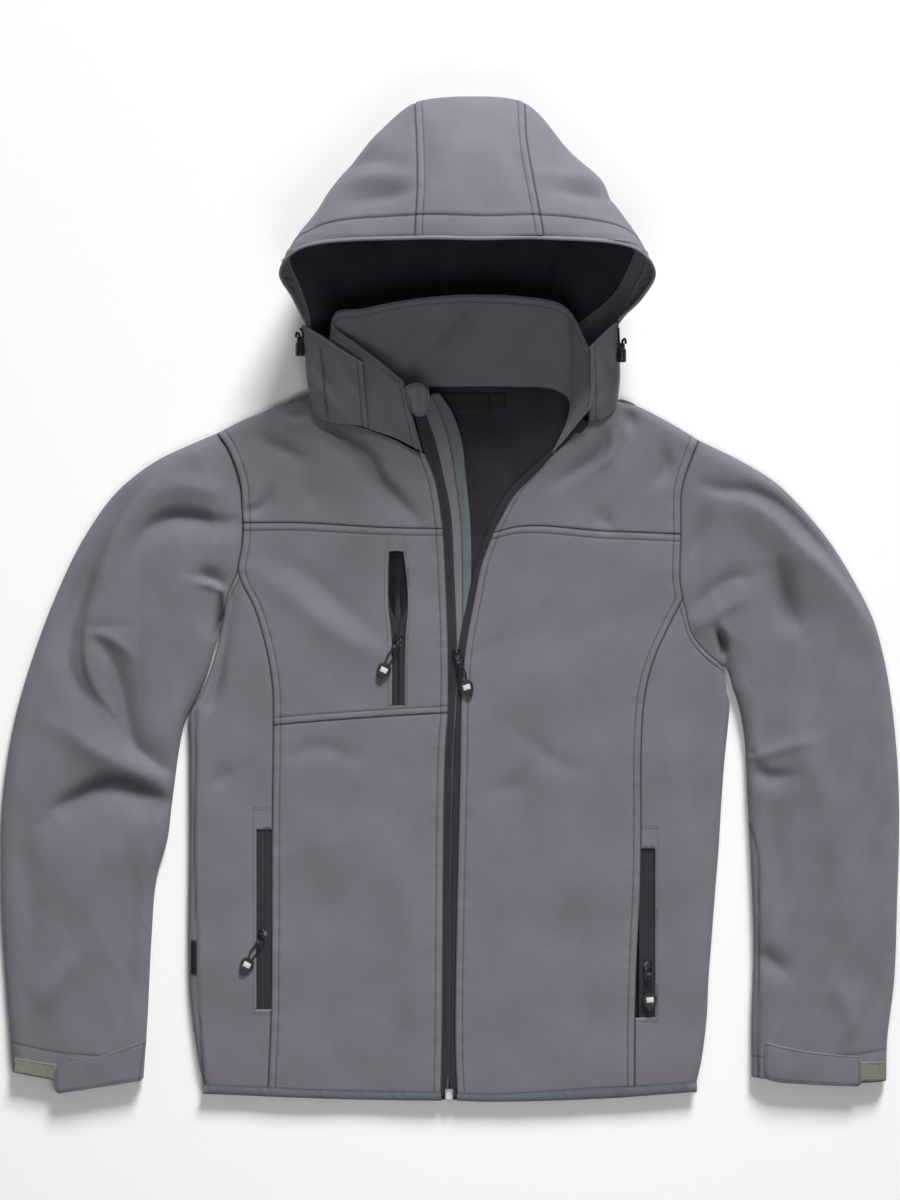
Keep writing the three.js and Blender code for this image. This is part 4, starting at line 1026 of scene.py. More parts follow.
def recalculate(piece):
    """Turns a closed mesh's faces outwards."""
    alone(piece)
    bpy.ops.object.mode_set(mode="EDIT")
    bpy.ops.mesh.select_all(action="SELECT")
    bpy.ops.mesh.normals_make_consistent(inside=False)
    bpy.ops.object.mode_set(mode="OBJECT")
    piece.select_set(False)


def oval(half_width, half_height, count):
    """Profile of a cord, roll or binding."""
    turn = np.linspace(0, 2 * math.pi, count, endpoint=False)
    return np.column_stack([half_width * np.cos(turn), half_height * np.sin(turn)])


HOOD_MIDDLE = 17     # X of the hood's middle, which lies to the left of the body's
NECK_SHIFT = -6      # how far the hood's neck lies back from there
FULL_FOLD_Z = 18     # height over the surface at which the hood's folds have their full depth
# Gathers at the brim's corners: middle Y, spread along the brim and depth behind it
GATHER_Y, GATHER_LONG, GATHER_DEEP = 322, 26, 16
CHEEK_TOP = 100      # height below which the facing widens at the left cheek
# Each row is a section from the brim backwards: lean, then crown (y, z) and the half width, y and z
# of seam, temple, side, cheek and neck
hood_sections = [
    (11, (349, 142), (62, 350, 138), (163, 343, 108), (183, 321, 88), (171, 297, 75), (155, 275, 60)),
    (8, (403, 126), (57, 402, 122), (146, 376, 92), (172, 345, 66), (164, 306, 54), (152, 268, 44)),
    (4, (449, 102), (54, 447, 98), (115, 421, 74), (145, 386, 46), (150, 320, 28), (146, 262, 24)),
    (2, (496, 56), (54, 491, 54), (86, 461, 46), (122, 410, 22), (130, 330, 8), (134, 256, 8)),
    (0, (480, 0), (48, 476, 0), (76, 446, 0), (102, 398, 0), (106, 330, 0), (106, 250, 0)),
    (0, (398, 0), (40, 394, 0), (60, 374, 0), (73, 338, 0), (76, 290, 0), (74, 228, 0)),
    (0, (301, 0), (30, 298, 0), (37, 286, 0), (41, 268, 0), (43, 248, 0), (46, 217, 0)),
    (0, (215, 0), (22, 215, 0), (25, 215, 0), (28, 215, 0), (31, 215, 0), (34, 215, 0)),
]
hood_folds = [
    ([(-100, 426), (-70, 429), (-38, 422)], 8, -3.3), ([(-104, 404), (-70, 411), (-38, 410)], 8, 3.3),
    ([(-98, 385), (-66, 391), (-38, 396)], (9, 5), -6), ([(-122, 398), (-134, 376), (-140, 352)], 8, -2.7),
    ([(-26, 470), (-23, 430), (-26, 396)], 8, -2.1), ([(10, 474), (2, 440), (-8, 404)], 16, 2.4),
    ([(58, 446), (67, 421), (70, 397)], 9, -3.3), ([(96, 436), (108, 416), (116, 396)], 10, -3),
    ([(85, 415), (120, 412), (150, 405)], 8, 4.2), ([(98, 397), (130, 395), (163, 392)], (8, 6), -5.4),
    ([(130, 432), (148, 408), (168, 384)], 8, 2.7), ([(-60, 462), (-74, 444), (-92, 424)], 12, 2.4),
]
# Folds in the lining at the foot of the hood's sides, which stand up inwards
lining_folds = [([(-83, 362), (-96, 322), (-108, 284)], (5, 12), -6),
                ([(116, 366), (121, 330), (128, 288)], (12, 5), -6)]
# Border of the wide facing at the left cheek
FACING_LINE = [(190, 380), (184, 347), (166, 308), (126, 276), (96, 258)]


def hood_surface():
    """Dense net of the whole hood, from one neck edge over the crown to the other, and its seam column."""
    span = 12
    rows = []
    for lean, crown, seam, temple, side, cheek, neck in hood_sections:
        shifts = ((neck, NECK_SHIFT), (cheek, 0), (side, 0), (temple, 0), (seam, lean))
        halves = [[(HOOD_MIDDLE + shift + sign * out, y, z) for (out, y, z), shift in shifts]
                  for sign in (-1, 1)]
        rows.append(spline(halves[0] + [(HOOD_MIDDLE + lean, *crown)] + halves[1][::-1], span))
    net = np.stack([spline([row[c] for row in rows], span) for c in range(len(rows[0]))], 1)
    net[..., 2] = np.maximum(net[..., 2], 0)
    return net, 4 * span


def hood_shape(centre):
    """The folds of one hood panel; the sides also have gathers and folds in their lining."""
    def shape(points, gaps):
        off_floor = np.clip(points[..., 2] / FULL_FOLD_Z, 0, 1)
        lift = fold_heights(hood_folds, points[..., :2]) * off_floor
        lift += waves(points[..., :2] + points[..., 2:] * 0.7, 70, 0.6, 21) * off_floor
        if not centre:
            y = points[..., 1]
            corner = bell(y, GATHER_LONG, GATHER_Y) * bell(gaps[0], GATHER_DEEP)
            lift += corner * (1.6 * np.sin(y * 0.82) + 0.8 * np.sin(y * 1.43 + 1))
            lift += fold_heights(lining_folds, points[..., :2]) * np.clip(gaps[0] / 60, 0, 1) ** 2
        return lift
    return shape


def hood_facing(points, gaps):
    """How far each point lies inside the outer cloth that is turned in round the hood's opening."""
    gap, _, side = nearest(spline(FACING_LINE), points[..., :2])
    wide = np.where(points[..., 2] < CHEEK_TOP, gap * side, -BRIM)
    return np.maximum(BRIM - gaps[0], wide)


def make_hood():
    """The hood's three panels and the binding round its opening."""
    panels = []
    net, seam = hood_surface()
    last = net.shape[1] - 1
    cuts = {"hood_side_right": (0, seam, ("brim", "plain", "plain", "seam")),
            "hood_centre": (seam, last - seam, ("brim", "plain", "top", "top")),
            "hood_side_left": (last - seam, last, ("brim", "plain", "seam", "plain"))}
    for name, (start, end, kinds) in cuts.items():
        piece, outer = standing(f"{name}_cloth", net[:, start:end + 1], kinds, step=3.4,
                                shape=hood_shape(name == "hood_centre"), facing=hood_facing)
        panels.append((piece, outer, name))
    ahead = net[0] - net[3]
    ahead /= np.linalg.norm(ahead, axis=1, keepdims=True)
    face = normals(net)[0]
    path = net[0] + ahead * 1.2 - face * 0.65
    edge = sweep("hood_binding_tape", path, oval(2.1, 1.4, 12), face, [edging])
    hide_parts("hood_binding")
    for piece, outer, name in panels:
        sheet(outer, [name])


# Foot and upper edge of the collar, from its right end round the back to its left end
collar_rows = [
    ((-27, 148, 13), (-45, 216, 36)), ((-54, 162, 13), (-66, 234, 39)), ((-80, 171, 13), (-92, 254, 41)),
    ((-108, 182, 13.5), (-114, 271, 44)), ((-122, 198, 10), (-112, 284, 46)),
    ((-108, 209, 7), (-88, 287, 46)),
    ((-70, 212, 5), (-42, 296, 45)), ((0, 213, 5), (10, 301, 44)), ((60, 213, 5), (75, 299, 45)),
    ((104, 210, 7), (112, 290, 46)), ((118, 200, 9), (130, 262, 45)), ((117, 182, 12), (141, 228, 40)),
    ((101, 146, 13), (140, 190, 30)),
]
collar_folds = [
    ([(22, 300), (-2, 268), (-44, 232)], (6, 10), -4.8), ([(46, 298), (20, 262), (-6, 226)], 7, 3),
    ([(-20, 292), (-48, 262), (-78, 236)], 7, -3), ([(86, 290), (70, 258), (62, 228)], 8, -2.7),
    ([(104, 250), (96, 236), (80, 222)], 7, 2.1), ([(117, 210), (117, 250), (114, 288)], (10, 3.5), -5.6),
]


def between(foot, edge, rows, span=10, bow=0.0):
    """Dense net between two lines of 3-D points, bowed out by bow mm halfway up."""
    low, high = (spline(line, span) for line in (foot, edge))
    v = np.linspace(0, 1, rows)[:, None, None]
    net = low[None] * (1 - v) + high[None] * v
    return net + normals(net) * bow * np.sin(np.pi * v)


def make_collar():
    """The standing collar and the roll of its upper edge."""
    net = between([foot for foot, _ in collar_rows], [edge for _, edge in collar_rows], 20, bow=-2.0)

    def shape(points, gaps):
        lift = fold_heights(collar_folds, points[..., :2]) + waves(points[..., :2], 40, 0.3, 31)
        return lift * np.clip(gaps[0] / 12, 0, 1) * np.clip(gaps[1] / 9, 0, 1)

    piece, outer = standing("collar_cloth", net, ("seam", "top", "top", "top"), thickness=2.4,
                            materials=(softshell, softshell), step=3, shape=shape, both=True)
    rim = outer[-1] - normals(outer)[-1] * 1.2
    roll = sweep("collar_edge_roll", rim, oval(1.35, 1.35, 8), [0, 0, 1], [softshell])
    sheet(outer, ["collar"])


# Foot and upper edge of the hood's lower fronts
hood_necks = {
    "right": ([(-141, 210, 9), (-135, 184, 15.5), (-118, 176, 17.5), (-89, 173, 18), (-81, 170, 18)],
              [(-142, 262, 42), (-146, 270, 54), (-127, 260, 52), (-106, 246, 49), (-86, 234, 45)]),
    "left": ([(138.5, 178, 15.9), (153, 180, 14.9), (165, 190, 12.9), (168, 212, 8), (158, 224, 5),
              (142, 226, 3)],
             [(138, 248, 50), (151, 261, 54), (165, 273, 55), (164, 262, 43), (151, 247, 24),
              (138, 243, 11)]),
}
neck_folds = [
    ([(-140, 256), (-118, 244), (-96, 206)], 5, 3.6), ([(-142, 238), (-128, 226), (-112, 196)], 5, -3.8),
    ([(-134, 214), (-122, 206), (-104, 180)], 6, 2.6), ([(-118, 246), (-104, 226), (-91, 204)], (6, 4), -4),
    ([(150, 240), (156, 220), (150, 198)], 5, -3.1), ([(160, 246), (164, 222), (158, 200)], 5, 2.4),
]
# The hood front's own seam at the right
NECK_SEAM = [(-128, 250), (-125, 214), (-122, 180)]


def make_hood_necks():
    """The hood's lower fronts, which stand round the collar, each with a bound edge."""
    for side, (foot, top) in hood_necks.items():
        net = between(foot, top, 16, bow=1.5)

        def shape(points, gaps):
            return fold_heights(neck_folds, points[..., :2]) * np.clip(gaps[0] / 8, 0, 1)

        kinds = ("seam", "plain", "plain", "top") if side == "right" else ("seam", "plain", "top", "plain")
        piece, outer = standing(f"hood_neck_{side}_cloth", net, kinds, step=2.4, shape=shape,
                                seams=[NECK_SEAM], materials=(softshell, softshell))
        rim = outer[-1] - normals(outer)[-1] * 0.6
        edge = sweep(f"hood_neck_{side}_edge", rim, oval(1.5, 1.3, 8), [0, 0, 1], [edging])
        sheet(outer, [f"hood_neck_{side}"])


# Zips

NECK_START = 145     # Y where the zip and the flap begin to rise towards the collar
NECK_BEND = 40       # length of the soft start of that rise
NECK_RISE = 0.33     # its slope after that
TAPE_UNDER = 2.0     # how far the zip tapes lie below the front's face
FLAP_UNDER = 1.6     # how far the wind flap lies below the tape
EDGE_UNDER = 0.75    # how far the middle of a pocket's rolled edge lies below the front's face
WELT = 22            # height of the welt over each hand pocket
WELT_ROWS = 2.4      # distance of its two rows of stitches


def neck_lift(y):
    """How far the front edge rises towards the collar, softly at first."""
    past = np.maximum(0, y - NECK_START)
    return NECK_RISE * np.where(past < NECK_BEND, past ** 2 / (2 * NECK_BEND), past - NECK_BEND / 2)


def ribbon(left, right, height_at, offsets, relief, rows):
    """Net along two plan lines, with columns at shares of the width and their own relief in mm."""
    low, high = spline(left), spline(right)
    v = np.linspace(0, 1, rows)
    a, b = at(low, v), at(high, v)
    u = np.asarray(offsets)[None, :, None]
    plan = a[:, None] * (1 - u) + b[:, None] * u
    return np.dstack([plan, height_at(plan) + np.asarray(relief)[None]])


# Left and right border of each tape of the main zip
zip_lines = {
    "right": ([(-11, -499), (-10, -440), (-7, -160), (-4, -104), (-4, -50), (-7, 34), (-9, 75), (-13, 100),
               (-17, 120), (-24.5, 143), (-29.5, 160), (-34, 177), (-37, 189)],
              [(-1.5, -499), (-1, -440), (2.5, -160), (5.5, -104), (7, -50), (4, 34), (2, 75), (-1, 100),
               (-5.5, 120), (-10.5, 143), (-15, 160), (-21, 177), (-25, 189)]),
    "left": ([(-0.8, -499), (-0.3, -440), (3.4, -160), (6.6, -104), (8.2, -50), (17.5, 0), (25, 34),
              (37, 67), (44, 83), (58, 108), (82, 132), (94, 143), (115, 162), (133, 181)],
             [(9, -499), (7, -440), (12, -160), (13, -104), (17, -50), (26, 0), (33, 34), (45, 67),
              (52, 80), (66, 104), (86, 124), (99, 137), (121, 157), (139, 176)]),
}
TAPE_SHARES = np.array([0, 0.08, 0.16, 0.24, 0.32, 0.4, 0.47, 0.54, 0.61, 0.68, 0.75, 0.82, 0.88, 0.93,
                        0.97, 1])
# Height of the tape over the coil beneath it, from its sewn edge to its meeting edge, with ribs
TAPE_RELIEF = (0.55 * bell(TAPE_SHARES, 0.2, 0.74)
               + 0.1 * np.cos(np.arange(len(TAPE_SHARES)) * math.pi)
               - 0.35 * (TAPE_SHARES > 0.98))


def tape_height(plan):
    """Height of the main zip's tapes."""
    return front_height(plan) - TAPE_UNDER + neck_lift(plan[..., 1])


def pocket_tape_height(plan):
    """Height of the pocket zips' tapes, which lie flat."""
    return np.full(plan.shape[:-1], TORSO - TAPE_UNDER)


def rolled_edge(name, line):
    """The rolled edge of a pocket opening."""
    path = np.column_stack([line, front_height(line) - EDGE_UNDER])
    sweep(name, path, oval(0.9, 0.8, 8), [0, 0, 1], [softshell])


def sew_on_front(plan):
    """A row of stitches on the front's face."""
    sew(np.column_stack([plan, front_height(plan) + 0.05]))


def make_main_zip():
    """The main zip's two tapes."""
    for side, (left, right) in zip_lines.items():
        shares = TAPE_SHARES if side == "right" else 1 - TAPE_SHARES[::-1]
        relief = TAPE_RELIEF if side == "right" else TAPE_RELIEF[::-1]
        net = ribbon(left, right, tape_height, shares, relief, 200)
        # painted shade line along both edges of each tape
        dark = np.broadcast_to(np.where((shares < 0.03) | (shares > 0.97), 0.8, 0), net.shape[:2])
        piece = shell(f"main_zip_tape_{side}_cloth", net, 1, 1.0, (tape,), dark)
        sheet(net, [f"main_zip_tape_{side}"])


def make_wind_flap():
    """The flap behind the main zip, with the bias binding that shows at its left edge."""
    left = [(-6, -484), (-5, -160), (-1, -50), (-4, 34), (-6, 75), (-10, 100), (-15, 125), (-22, 147),
            (-27, 170), (-31, 186), (-35, 202)]
    right = [(11, -484), (14, -160), (18, -50), (20, 34), (19, 75), (17, 100), (14, 125), (12, 147),
             (7, 170), (-1, 190), (-12, 206)]

    def height(plan):
        return tape_height(plan) - FLAP_UNDER + waves(plan, 60, 0.25, 41)

    shares = np.linspace(0, 1, 15)
    net = ribbon(left, right, height, shares, 0 * shares, 160)
    piece, cloth_net = shell("wind_flap_cloth", net, 1, 1.4, (softshell,)), net
    edge_shares = np.array([0.66, 0.67, 0.7, 0.78, 0.86, 0.93, 0.98, 1.03, 1.06])
    edge_relief = np.array([0.1, 0.5, 0.7, 0.75, 0.75, 0.75, 0.7, 0.3, -0.6])
    net = ribbon(left, right, height, edge_shares, edge_relief, 160)
    net[..., 2] += 0.12 * np.sin(np.arange(160) * 1.9)[:, None]
    binding = shell("wind_flap_binding", net, 1, 0.5, (bias,))
    sheet(cloth_net, ["wind_flap"])
    sew(net[:, 2] + [0, 0, 0.1])


def make_hand_zips():
    """Closed zip tapes in the hand pockets, the rolled edges of their openings and their stitching."""
    shares = np.array([0, 0.06, 0.13, 0.2, 0.27, 0.34, 0.4, 0.45, 0.485, 0.5, 0.515, 0.55, 0.6, 0.66, 0.73,
                       0.8,
                       0.87, 0.94, 1])
    ribs = 0.08 * np.cos(np.arange(len(shares)) * math.pi)
    relief = 0.6 * bell(np.abs(shares - 0.5), 0.1, 0.14) + ribs
    relief[shares == 0.5] -= 0.9
    for side, box, outside in (("right", HAND_RIGHT, -1), ("left", HAND_LEFT, 1)):
        x0, x1, y0, y1 = box["x0"], box["x1"], box["y0"], box["y1"]
        left = [(x0 - 2, y0 - 2), (x0 - 2, y1 + 2)]
        right = [(x1 + 2, y0 - 2), (x1 + 2, y1 + 2)]
        net = ribbon(left, right, pocket_tape_height, shares, relief, 110)
        # painted shade line down the middle, where the two tapes meet
        dark = np.broadcast_to(np.where(np.abs(shares - 0.5) < 0.02, 1.0, 0), net.shape[:2])
        piece = shell(f"hand_zip_tapes_{side}_cloth", net, 1, 0.9, (tape,), dark)
        sheet(net, [f"hand_zip_tapes_{side}"])
        outer_x, inner_x = (x0, x1) if outside < 0 else (x1, x0)
        corners = [(inner_x, y0 - 0.4), (outer_x, y0 - 0.4), (outer_x, y1 + 0.4), (inner_x, y1 + 0.4)]
        loop = np.vstack([np.linspace(a, b, 60)[:-1] for a, b in zip(corners[:-1], corners[1:])]
                         + [corners[-1:]])
        rolled_edge(f"hand_pocket_edge_{side}", loop)
        stitched_x = outer_x + 2.0 * outside
        lines = [[(stitched_x, y0 - 4), (stitched_x, y1 + WELT)]]
        lines += [[(stitched_x, y), (inner_x, y)]
                  for y in (y1 + WELT, y1 + WELT - WELT_ROWS, y0 - 4, y0 - 2)]
        for line in lines:
            sew_on_front(at(np.array(line, float), np.linspace(0, 1, 50)))


chest_tape_lines = {
    "right": ([(-61, -109), (-61.5, -60), (-62, -30), (-64.5, -8), (-65, 25), (-64, 52)],
              [(-52.3, -109), (-52.3, -60), (-52.4, -28), (-60.2, -4), (-61, 25), (-60.5, 50)]),
    "left": ([(-51.7, -109), (-51.7, -60), (-51.6, -28), (-43.5, -4), (-44.5, 25), (-47.5, 50)],
             [(-43, -109), (-42.5, -60), (-42, -40), (-39, -8), (-41, 25), (-44, 52)]),
}


def make_chest_zip():
    """The chest pocket's two tapes, closed below the slider, and the glossy film that shows above it."""
    shares = np.linspace(0, 1, 10)
    ribs = 0.07 * np.cos(np.arange(len(shares)) * math.pi)
    for side, (left, right) in chest_tape_lines.items():
        bulge = shares if side == "right" else 1 - shares
        relief = 0.55 * bell(bulge, 0.22, 0.7) + ribs
        relief = relief - 0.4 * (bulge > 0.98)
        net = ribbon(left, right, pocket_tape_height, shares, relief, 90)
        # painted shade line along the tapes' meeting edge
        dark = np.broadcast_to(np.where(bulge > 0.98, 1.0, 0), net.shape[:2])
        piece = shell(f"chest_zip_tape_{side}_cloth", net, 1, 0.9, (tape,), dark)
        sheet(net, ["chest_zip_tapes"])
    wide = np.linspace(0, 1, 24)
    left = [(-69, -111), (-69, -60), (-70, 0), (-71, 55)]
    right = [(-35, -111), (-35, -60), (-34, 0), (-33, 55)]

    def film_height(plan):
        x, y = plan[..., 0], plan[..., 1]
        mouth = bell(y, 30, 10) * bell(x, 5.5, -52.5)
        wrinkle = 0.35 * np.sin(x * 1.1 + 0.03 * y) * mouth
        return 7.2 + 2.6 * mouth + wrinkle

    net = ribbon(left, right, film_height, wide, 0 * wide, 90)
    piece = shell("chest_pocket_film", net, 1, 0.7, (film,))
    sheet(net, ["chest_pocket_bag"])
    rim = spline([(-59, -106.5), (-59, -50), (-60, -30), (-62.5, -8), (-63, 25), (-62, 48.6)], 12)
    far = spline([(-45, -106.5), (-44, -40), (-41.5, -8), (-43, 25), (-46, 48.6)], 12)
    top = spline([(-62, 48.8), (-54, 50), (-46, 48.8)], 8)
    for name, line in (("right", rim), ("left", far), ("top", top), ("foot", np.array([far[0], rim[0]]))):
        rolled_edge(f"chest_pocket_edge_{name}", line)
    for line in ([(-61.5, -107), (-62, -60), (-62.8, -30), (-65, -8), (-65.4, 25), (-64, 50), (-64, 67)],
                 [(-42.5, -107), (-42, -40), (-39.2, -8), (-40.6, 25), (-44, 50), (-44, 67)],
                 [(-61, 51), (-61, 67)], [(-47, 51), (-47, 67)]):
        sew_on_front(spline(line, 12))


# Lower and upper border of each hem binding
hem_lines = {
    "hem_binding_right": ([(-247, -494), (-150, -498), (-90, -500), (-9, -501)],
                          [(-247, -484), (-182, -487), (-150, -489), (-90, -491), (-9, -492)]),
    "hem_binding_left": ([(7, -501), (40, -502), (150, -499), (247, -492)],
                         [(7, -493), (40, -494), (150, -487.6), (185, -486), (247, -481)]),
    "hem_binding_back": ([(-247, -494), (-150, -498), (-60, -501), (60, -501), (150, -499), (247, -492)],
                         [(-247, -485.5), (-150, -490.5), (-60, -493.5), (60, -493.5), (150, -488.5),
                          (247, -482.5)]),
}


def make_hem_bindings():
    """The bindings folded round the hem of both fronts and of the back."""
    shares = np.array([0, 0.04, 0.1, 0.2, 0.35, 0.5, 0.65, 0.8, 0.9, 0.97, 1])
    relief = np.array([-1.6, -0.7, -0.1, 0.35, 0.6, 0.75, 0.75, 0.6, 0.45, 0.3, 0.1])
    for name, (lower, upper) in hem_lines.items():
        low, high = spline(lower), spline(upper)
        count = 240
        run = np.linspace(0, 1, count)
        a, b = at(low, run), at(high, run)
        plan = a[None] * (1 - shares[:, None, None]) + b[None] * shares[:, None, None]
        if name.endswith("back"):
            net = np.dstack([plan, np.zeros(plan.shape[:2])])
            piece = shell(name + "_tape", net, -1, 1.4, (bias,))
        else:
            draw = np.random.default_rng(len(name))
            pucker = sum(np.sin(run * reach(low)[-1] * 2 * math.pi / draw.uniform(7, 16) + k)
                         for k in range(4)) * 0.12
            height = front_height(plan) + relief[:, None] + pucker * np.sin(np.pi * shares)[:, None]
            net = np.dstack([plan, height])
            # painted shade along the binding's upper edge
            dark = np.broadcast_to((0.7 * bell(shares, 0.06, 1))[:, None], net.shape[:2])
            piece = shell(name + "_tape", net, 1, 2.0, (bias,), dark)
            sew(net[-3])
        sheet(net, [name])


TAB_WIDE, TAB_LONG = 30, 88      # rough size of a cuff tab, for the spacing of its net
# Lower, upper, near and far border of each cuff tab, then lower and upper border of its loop patch
cuff_pieces = {
    "right": ([(-391, -493), (-352, -487), (-308, -480)], [(-391, -465), (-348, -455), (-303, -439)],
              [(-391, -493), (-394.4, -490), (-395, -479), (-394.4, -468), (-391, -465)],
              [(-308, -480), (-305.5, -460), (-303, -439)],
              [(-435, -472), (-393, -480)], [(-435, -457), (-393, -464)]),
    "left": ([(315, -478), (324, -481), (360, -484), (407, -486)],
             [(315, -441), (335, -446), (362, -451), (407, -456)],
             [(315, -478), (313.5, -460), (315, -441)],
             [(407, -486), (410.4, -483), (411, -471), (410.4, -459), (407, -456)],
             [(409, -481), (434, -480)], [(409, -461), (434, -461)]),
}


def make_cuffs():
    """The cuff tabs and the loop patches under them."""
    for side, (low, high, near, far, patch_low, patch_high) in cuff_pieces.items():
        def over(lift):
            return lambda plan: np.maximum(sleeve_tops[side](plan), SLEEVE) + lift

        bottom, top, left, right = spline(low), spline(high), spline(near), spline(far)
        v = positions(TAB_WIDE, SMALL, SMALL, 5) / TAB_WIDE
        u = positions(TAB_LONG, SMALL, SMALL, 20) / TAB_LONG
        plan = coons(bottom, top, left, right, np.broadcast_to(u, (len(v), len(u))), v)
        dense = np.dstack([plan, over(2.1)(plan)])

        def shape(points, gaps):
            return waves(points[..., :2], 26, 0.35, 51) * np.clip(gaps.min(0) / 5, 0, 1)

        piece, outer = standing(f"cuff_tab_{side}_cloth", dense, ("tab",) * 4, thickness=1.6, step=4,
                                shape=shape, materials=(softshell, softshell))
        sheet(outer, [f"cuff_tab_{side}"])
        shares = np.linspace(0, 1, 12)
        net = ribbon(patch_low, patch_high, over(1.15), shares, 0 * shares, 40)
        net[..., 2] += np.random.default_rng(7).uniform(-0.22, 0.22, net.shape[:2])
        if np.cross(net[0, 1] - net[0, 0], net[1, 0] - net[0, 0])[2] < 0:
            net = net[::-1]
        patch = shell(f"cuff_patch_{side}_loops", net, 1, 1.0, (loops,))
        sheet(net, [f"cuff_patch_{side}"])
        sew(net[2:-2, 1])
        sew(net[2:-2, -2])


def make_chin_guard():
    """The small cover over the top of the main zip."""
    foot = [(-38, 185, 29.4), (-34, 182.5, 29.8), (-27, 182.5, 30), (-20.5, 187, 31)]
    edge = [(-46.5, 210, 38.4), (-40, 214.5, 39.4), (-29, 215, 39.6), (-20.5, 210, 38)]
    net = between(foot, edge, 12, bow=1.8)
    folds = [([(-43, 208), (-37, 200), (-38, 188)], 2.4, 1.6),
             ([(-36, 213), (-32, 202), (-34, 186)], 2.2, -1.8),
             ([(-30, 212), (-26, 202), (-29, 190)], 2.4, 1.5),
             ([(-25, 208), (-23, 200), (-25, 190)], 2, -1.2)]

    def shape(points, gaps):
        return fold_heights(folds, points[..., :2]) * np.clip(gaps.min(0) / 3, 0, 1)

    piece, outer = standing("chin_guard_cloth", net, ("tab",) * 4, thickness=1.5, step=2.0, shape=shape,
                            materials=(softshell, softshell))
    sheet(outer, ["chin_guard"])


def make_labels():
    """Blank woven labels: two inside the back neck, one folded into the side seam."""
    def on_back(plan):
        return np.full(plan.shape[:-1], 2.5)

    def on_side(plan):
        return front_height(plan) + 0.95

    # left and right border, number of columns and height
    rows = {
        "neck_label": ([(-20, 187), (-20, 208)], [(40, 187), (40, 208)], 24, on_back),
        "size_label": ([(42, 191), (42, 208)], [(56, 191), (56, 208)], 12, on_back),
        "side_label": ([(-259, -374), (-259, -340)], [(-253, -374), (-253, -340)], 12, on_side),
    }
    for name, (left, right, count, height) in rows.items():
        shares = np.linspace(0, 1, count)
        curl = 0.35 * np.sin(shares * math.pi * 2.2 + len(name))
        net = ribbon(left, right, height, shares, curl, 16)
        net[-1, :, 2] -= 0.4
        piece = shell(name + "_satin", net, 1, 0.5, (ribbon_satin,))
        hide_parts(name)
        if name != "side_label":
            sheet(net, [])


# Hard pieces

def start(kind, **settings):
    """Adds a primitive with nothing else selected; sizes and places are in millimetres."""
    bpy.ops.object.select_all(action="DESELECT")
    sizes = ("radius", "depth", "size", "major_radius", "minor_radius")
    scaled = {key: value * MM if key in sizes else value for key, value in settings.items()}
    scaled = {key: tuple(c * MM for c in value) if key == "location" else value
              for key, value in scaled.items()}
    getattr(bpy.ops.mesh, f"primitive_{kind}_add")(**scaled)
    piece = bpy.context.active_object
    bpy.ops.object.transform_apply(location=True, rotation=True, scale=True)
    return piece


def soften(piece, width, segments=2):
    """Rounds a piece's sharp edges."""
    alone(piece)
    bevel = piece.modifiers.new("soft", "BEVEL")
    bevel.width = width * MM
    bevel.segments = segments
    bevel.limit_method = "ANGLE"
    bevel.angle_limit = math.radians(30)
    bpy.ops.object.modifier_apply(modifier=bevel.name)
    return piece


def plate(outline, low, high, bevel=0.4, dish=None):
    """A flat plate with this outline, softened edges and, with dish=(rim, depth), a sunk top face."""
    turns = sum(a[0] * b[1] - b[0] * a[1] for a, b in zip(outline, [*outline[1:], outline[0]]))
    outline = outline if turns > 0 else outline[::-1]
    piece = start("circle", vertices=len(outline), fill_type="NGON", radius=1)
    for vertex, (x, y) in zip(piece.data.vertices, outline):
        vertex.co = (x * MM, y * MM, low * MM)
    bpy.ops.object.mode_set(mode="EDIT")
    bpy.ops.mesh.select_all(action="SELECT")
    bpy.ops.mesh.extrude_region_move(TRANSFORM_OT_translate={"value": (0, 0, (high - low) * MM)})
    if dish:
        bpy.ops.mesh.inset(thickness=dish[0] * MM, depth=0)
        bpy.ops.mesh.inset(thickness=0.3 * MM, depth=-dish[1] * MM)
    bpy.ops.mesh.select_all(action="SELECT")
    bpy.ops.mesh.normals_make_consistent(inside=False)
    bpy.ops.object.mode_set(mode="OBJECT")
    return soften(piece, bevel)


def stretched_ring(x, y, z, half_x, half_y, wire):
    """A ring of round wire, longer one way than the other."""
    piece = start("torus", major_radius=1, minor_radius=wire / max(half_x, half_y), major_segments=28,
                  minor_segments=8)
    for vertex in piece.data.vertices:
        angle = math.atan2(vertex.co.y, vertex.co.x)
        out = math.hypot(vertex.co.x, vertex.co.y) / MM - 1
        wide = out * max(half_x, half_y)
        vertex.co = ((math.cos(angle) * (half_x + wide) + x) * MM,
                     (math.sin(angle) * (half_y + wide) + y) * MM,
                     (vertex.co.z / MM * max(half_x, half_y) + z) * MM)
    return piece


def tube(points, radius, sides=8):
    """A round wire or cord through the points, in the part's own millimetres."""
    path = spline(points, 8)
    return sweep("tube", path, oval(radius, radius, sides), [0, 0.05, 1], [])


def unite(name, pieces, material, body, angle=0.0, place=(0, 0, 0)):
    """Joins pieces into one, gives it its material and puts it where it belongs."""
    bpy.ops.object.select_all(action="DESELECT")
    for piece in pieces:
        piece.select_set(True)
        piece.data.materials.clear()
        piece.data.materials.append(material)
    bpy.context.view_layer.objects.active = pieces[0]
    if len(pieces) > 1:
        bpy.ops.object.join()
    made = bpy.context.active_object
    made.name = name
    turn = Matrix.Rotation(angle, 4, "Z")
    made.data.transform(Matrix.Translation([c * MM for c in place]) @ turn)
    bpy.ops.object.shade_smooth_by_angle(angle=math.radians(40))
    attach(made, body)
    return made


SLIDER_Z = 11.65     # middle height of the slider bodies
PIVOT_Z = 14.25      # height of the pulls' end bars
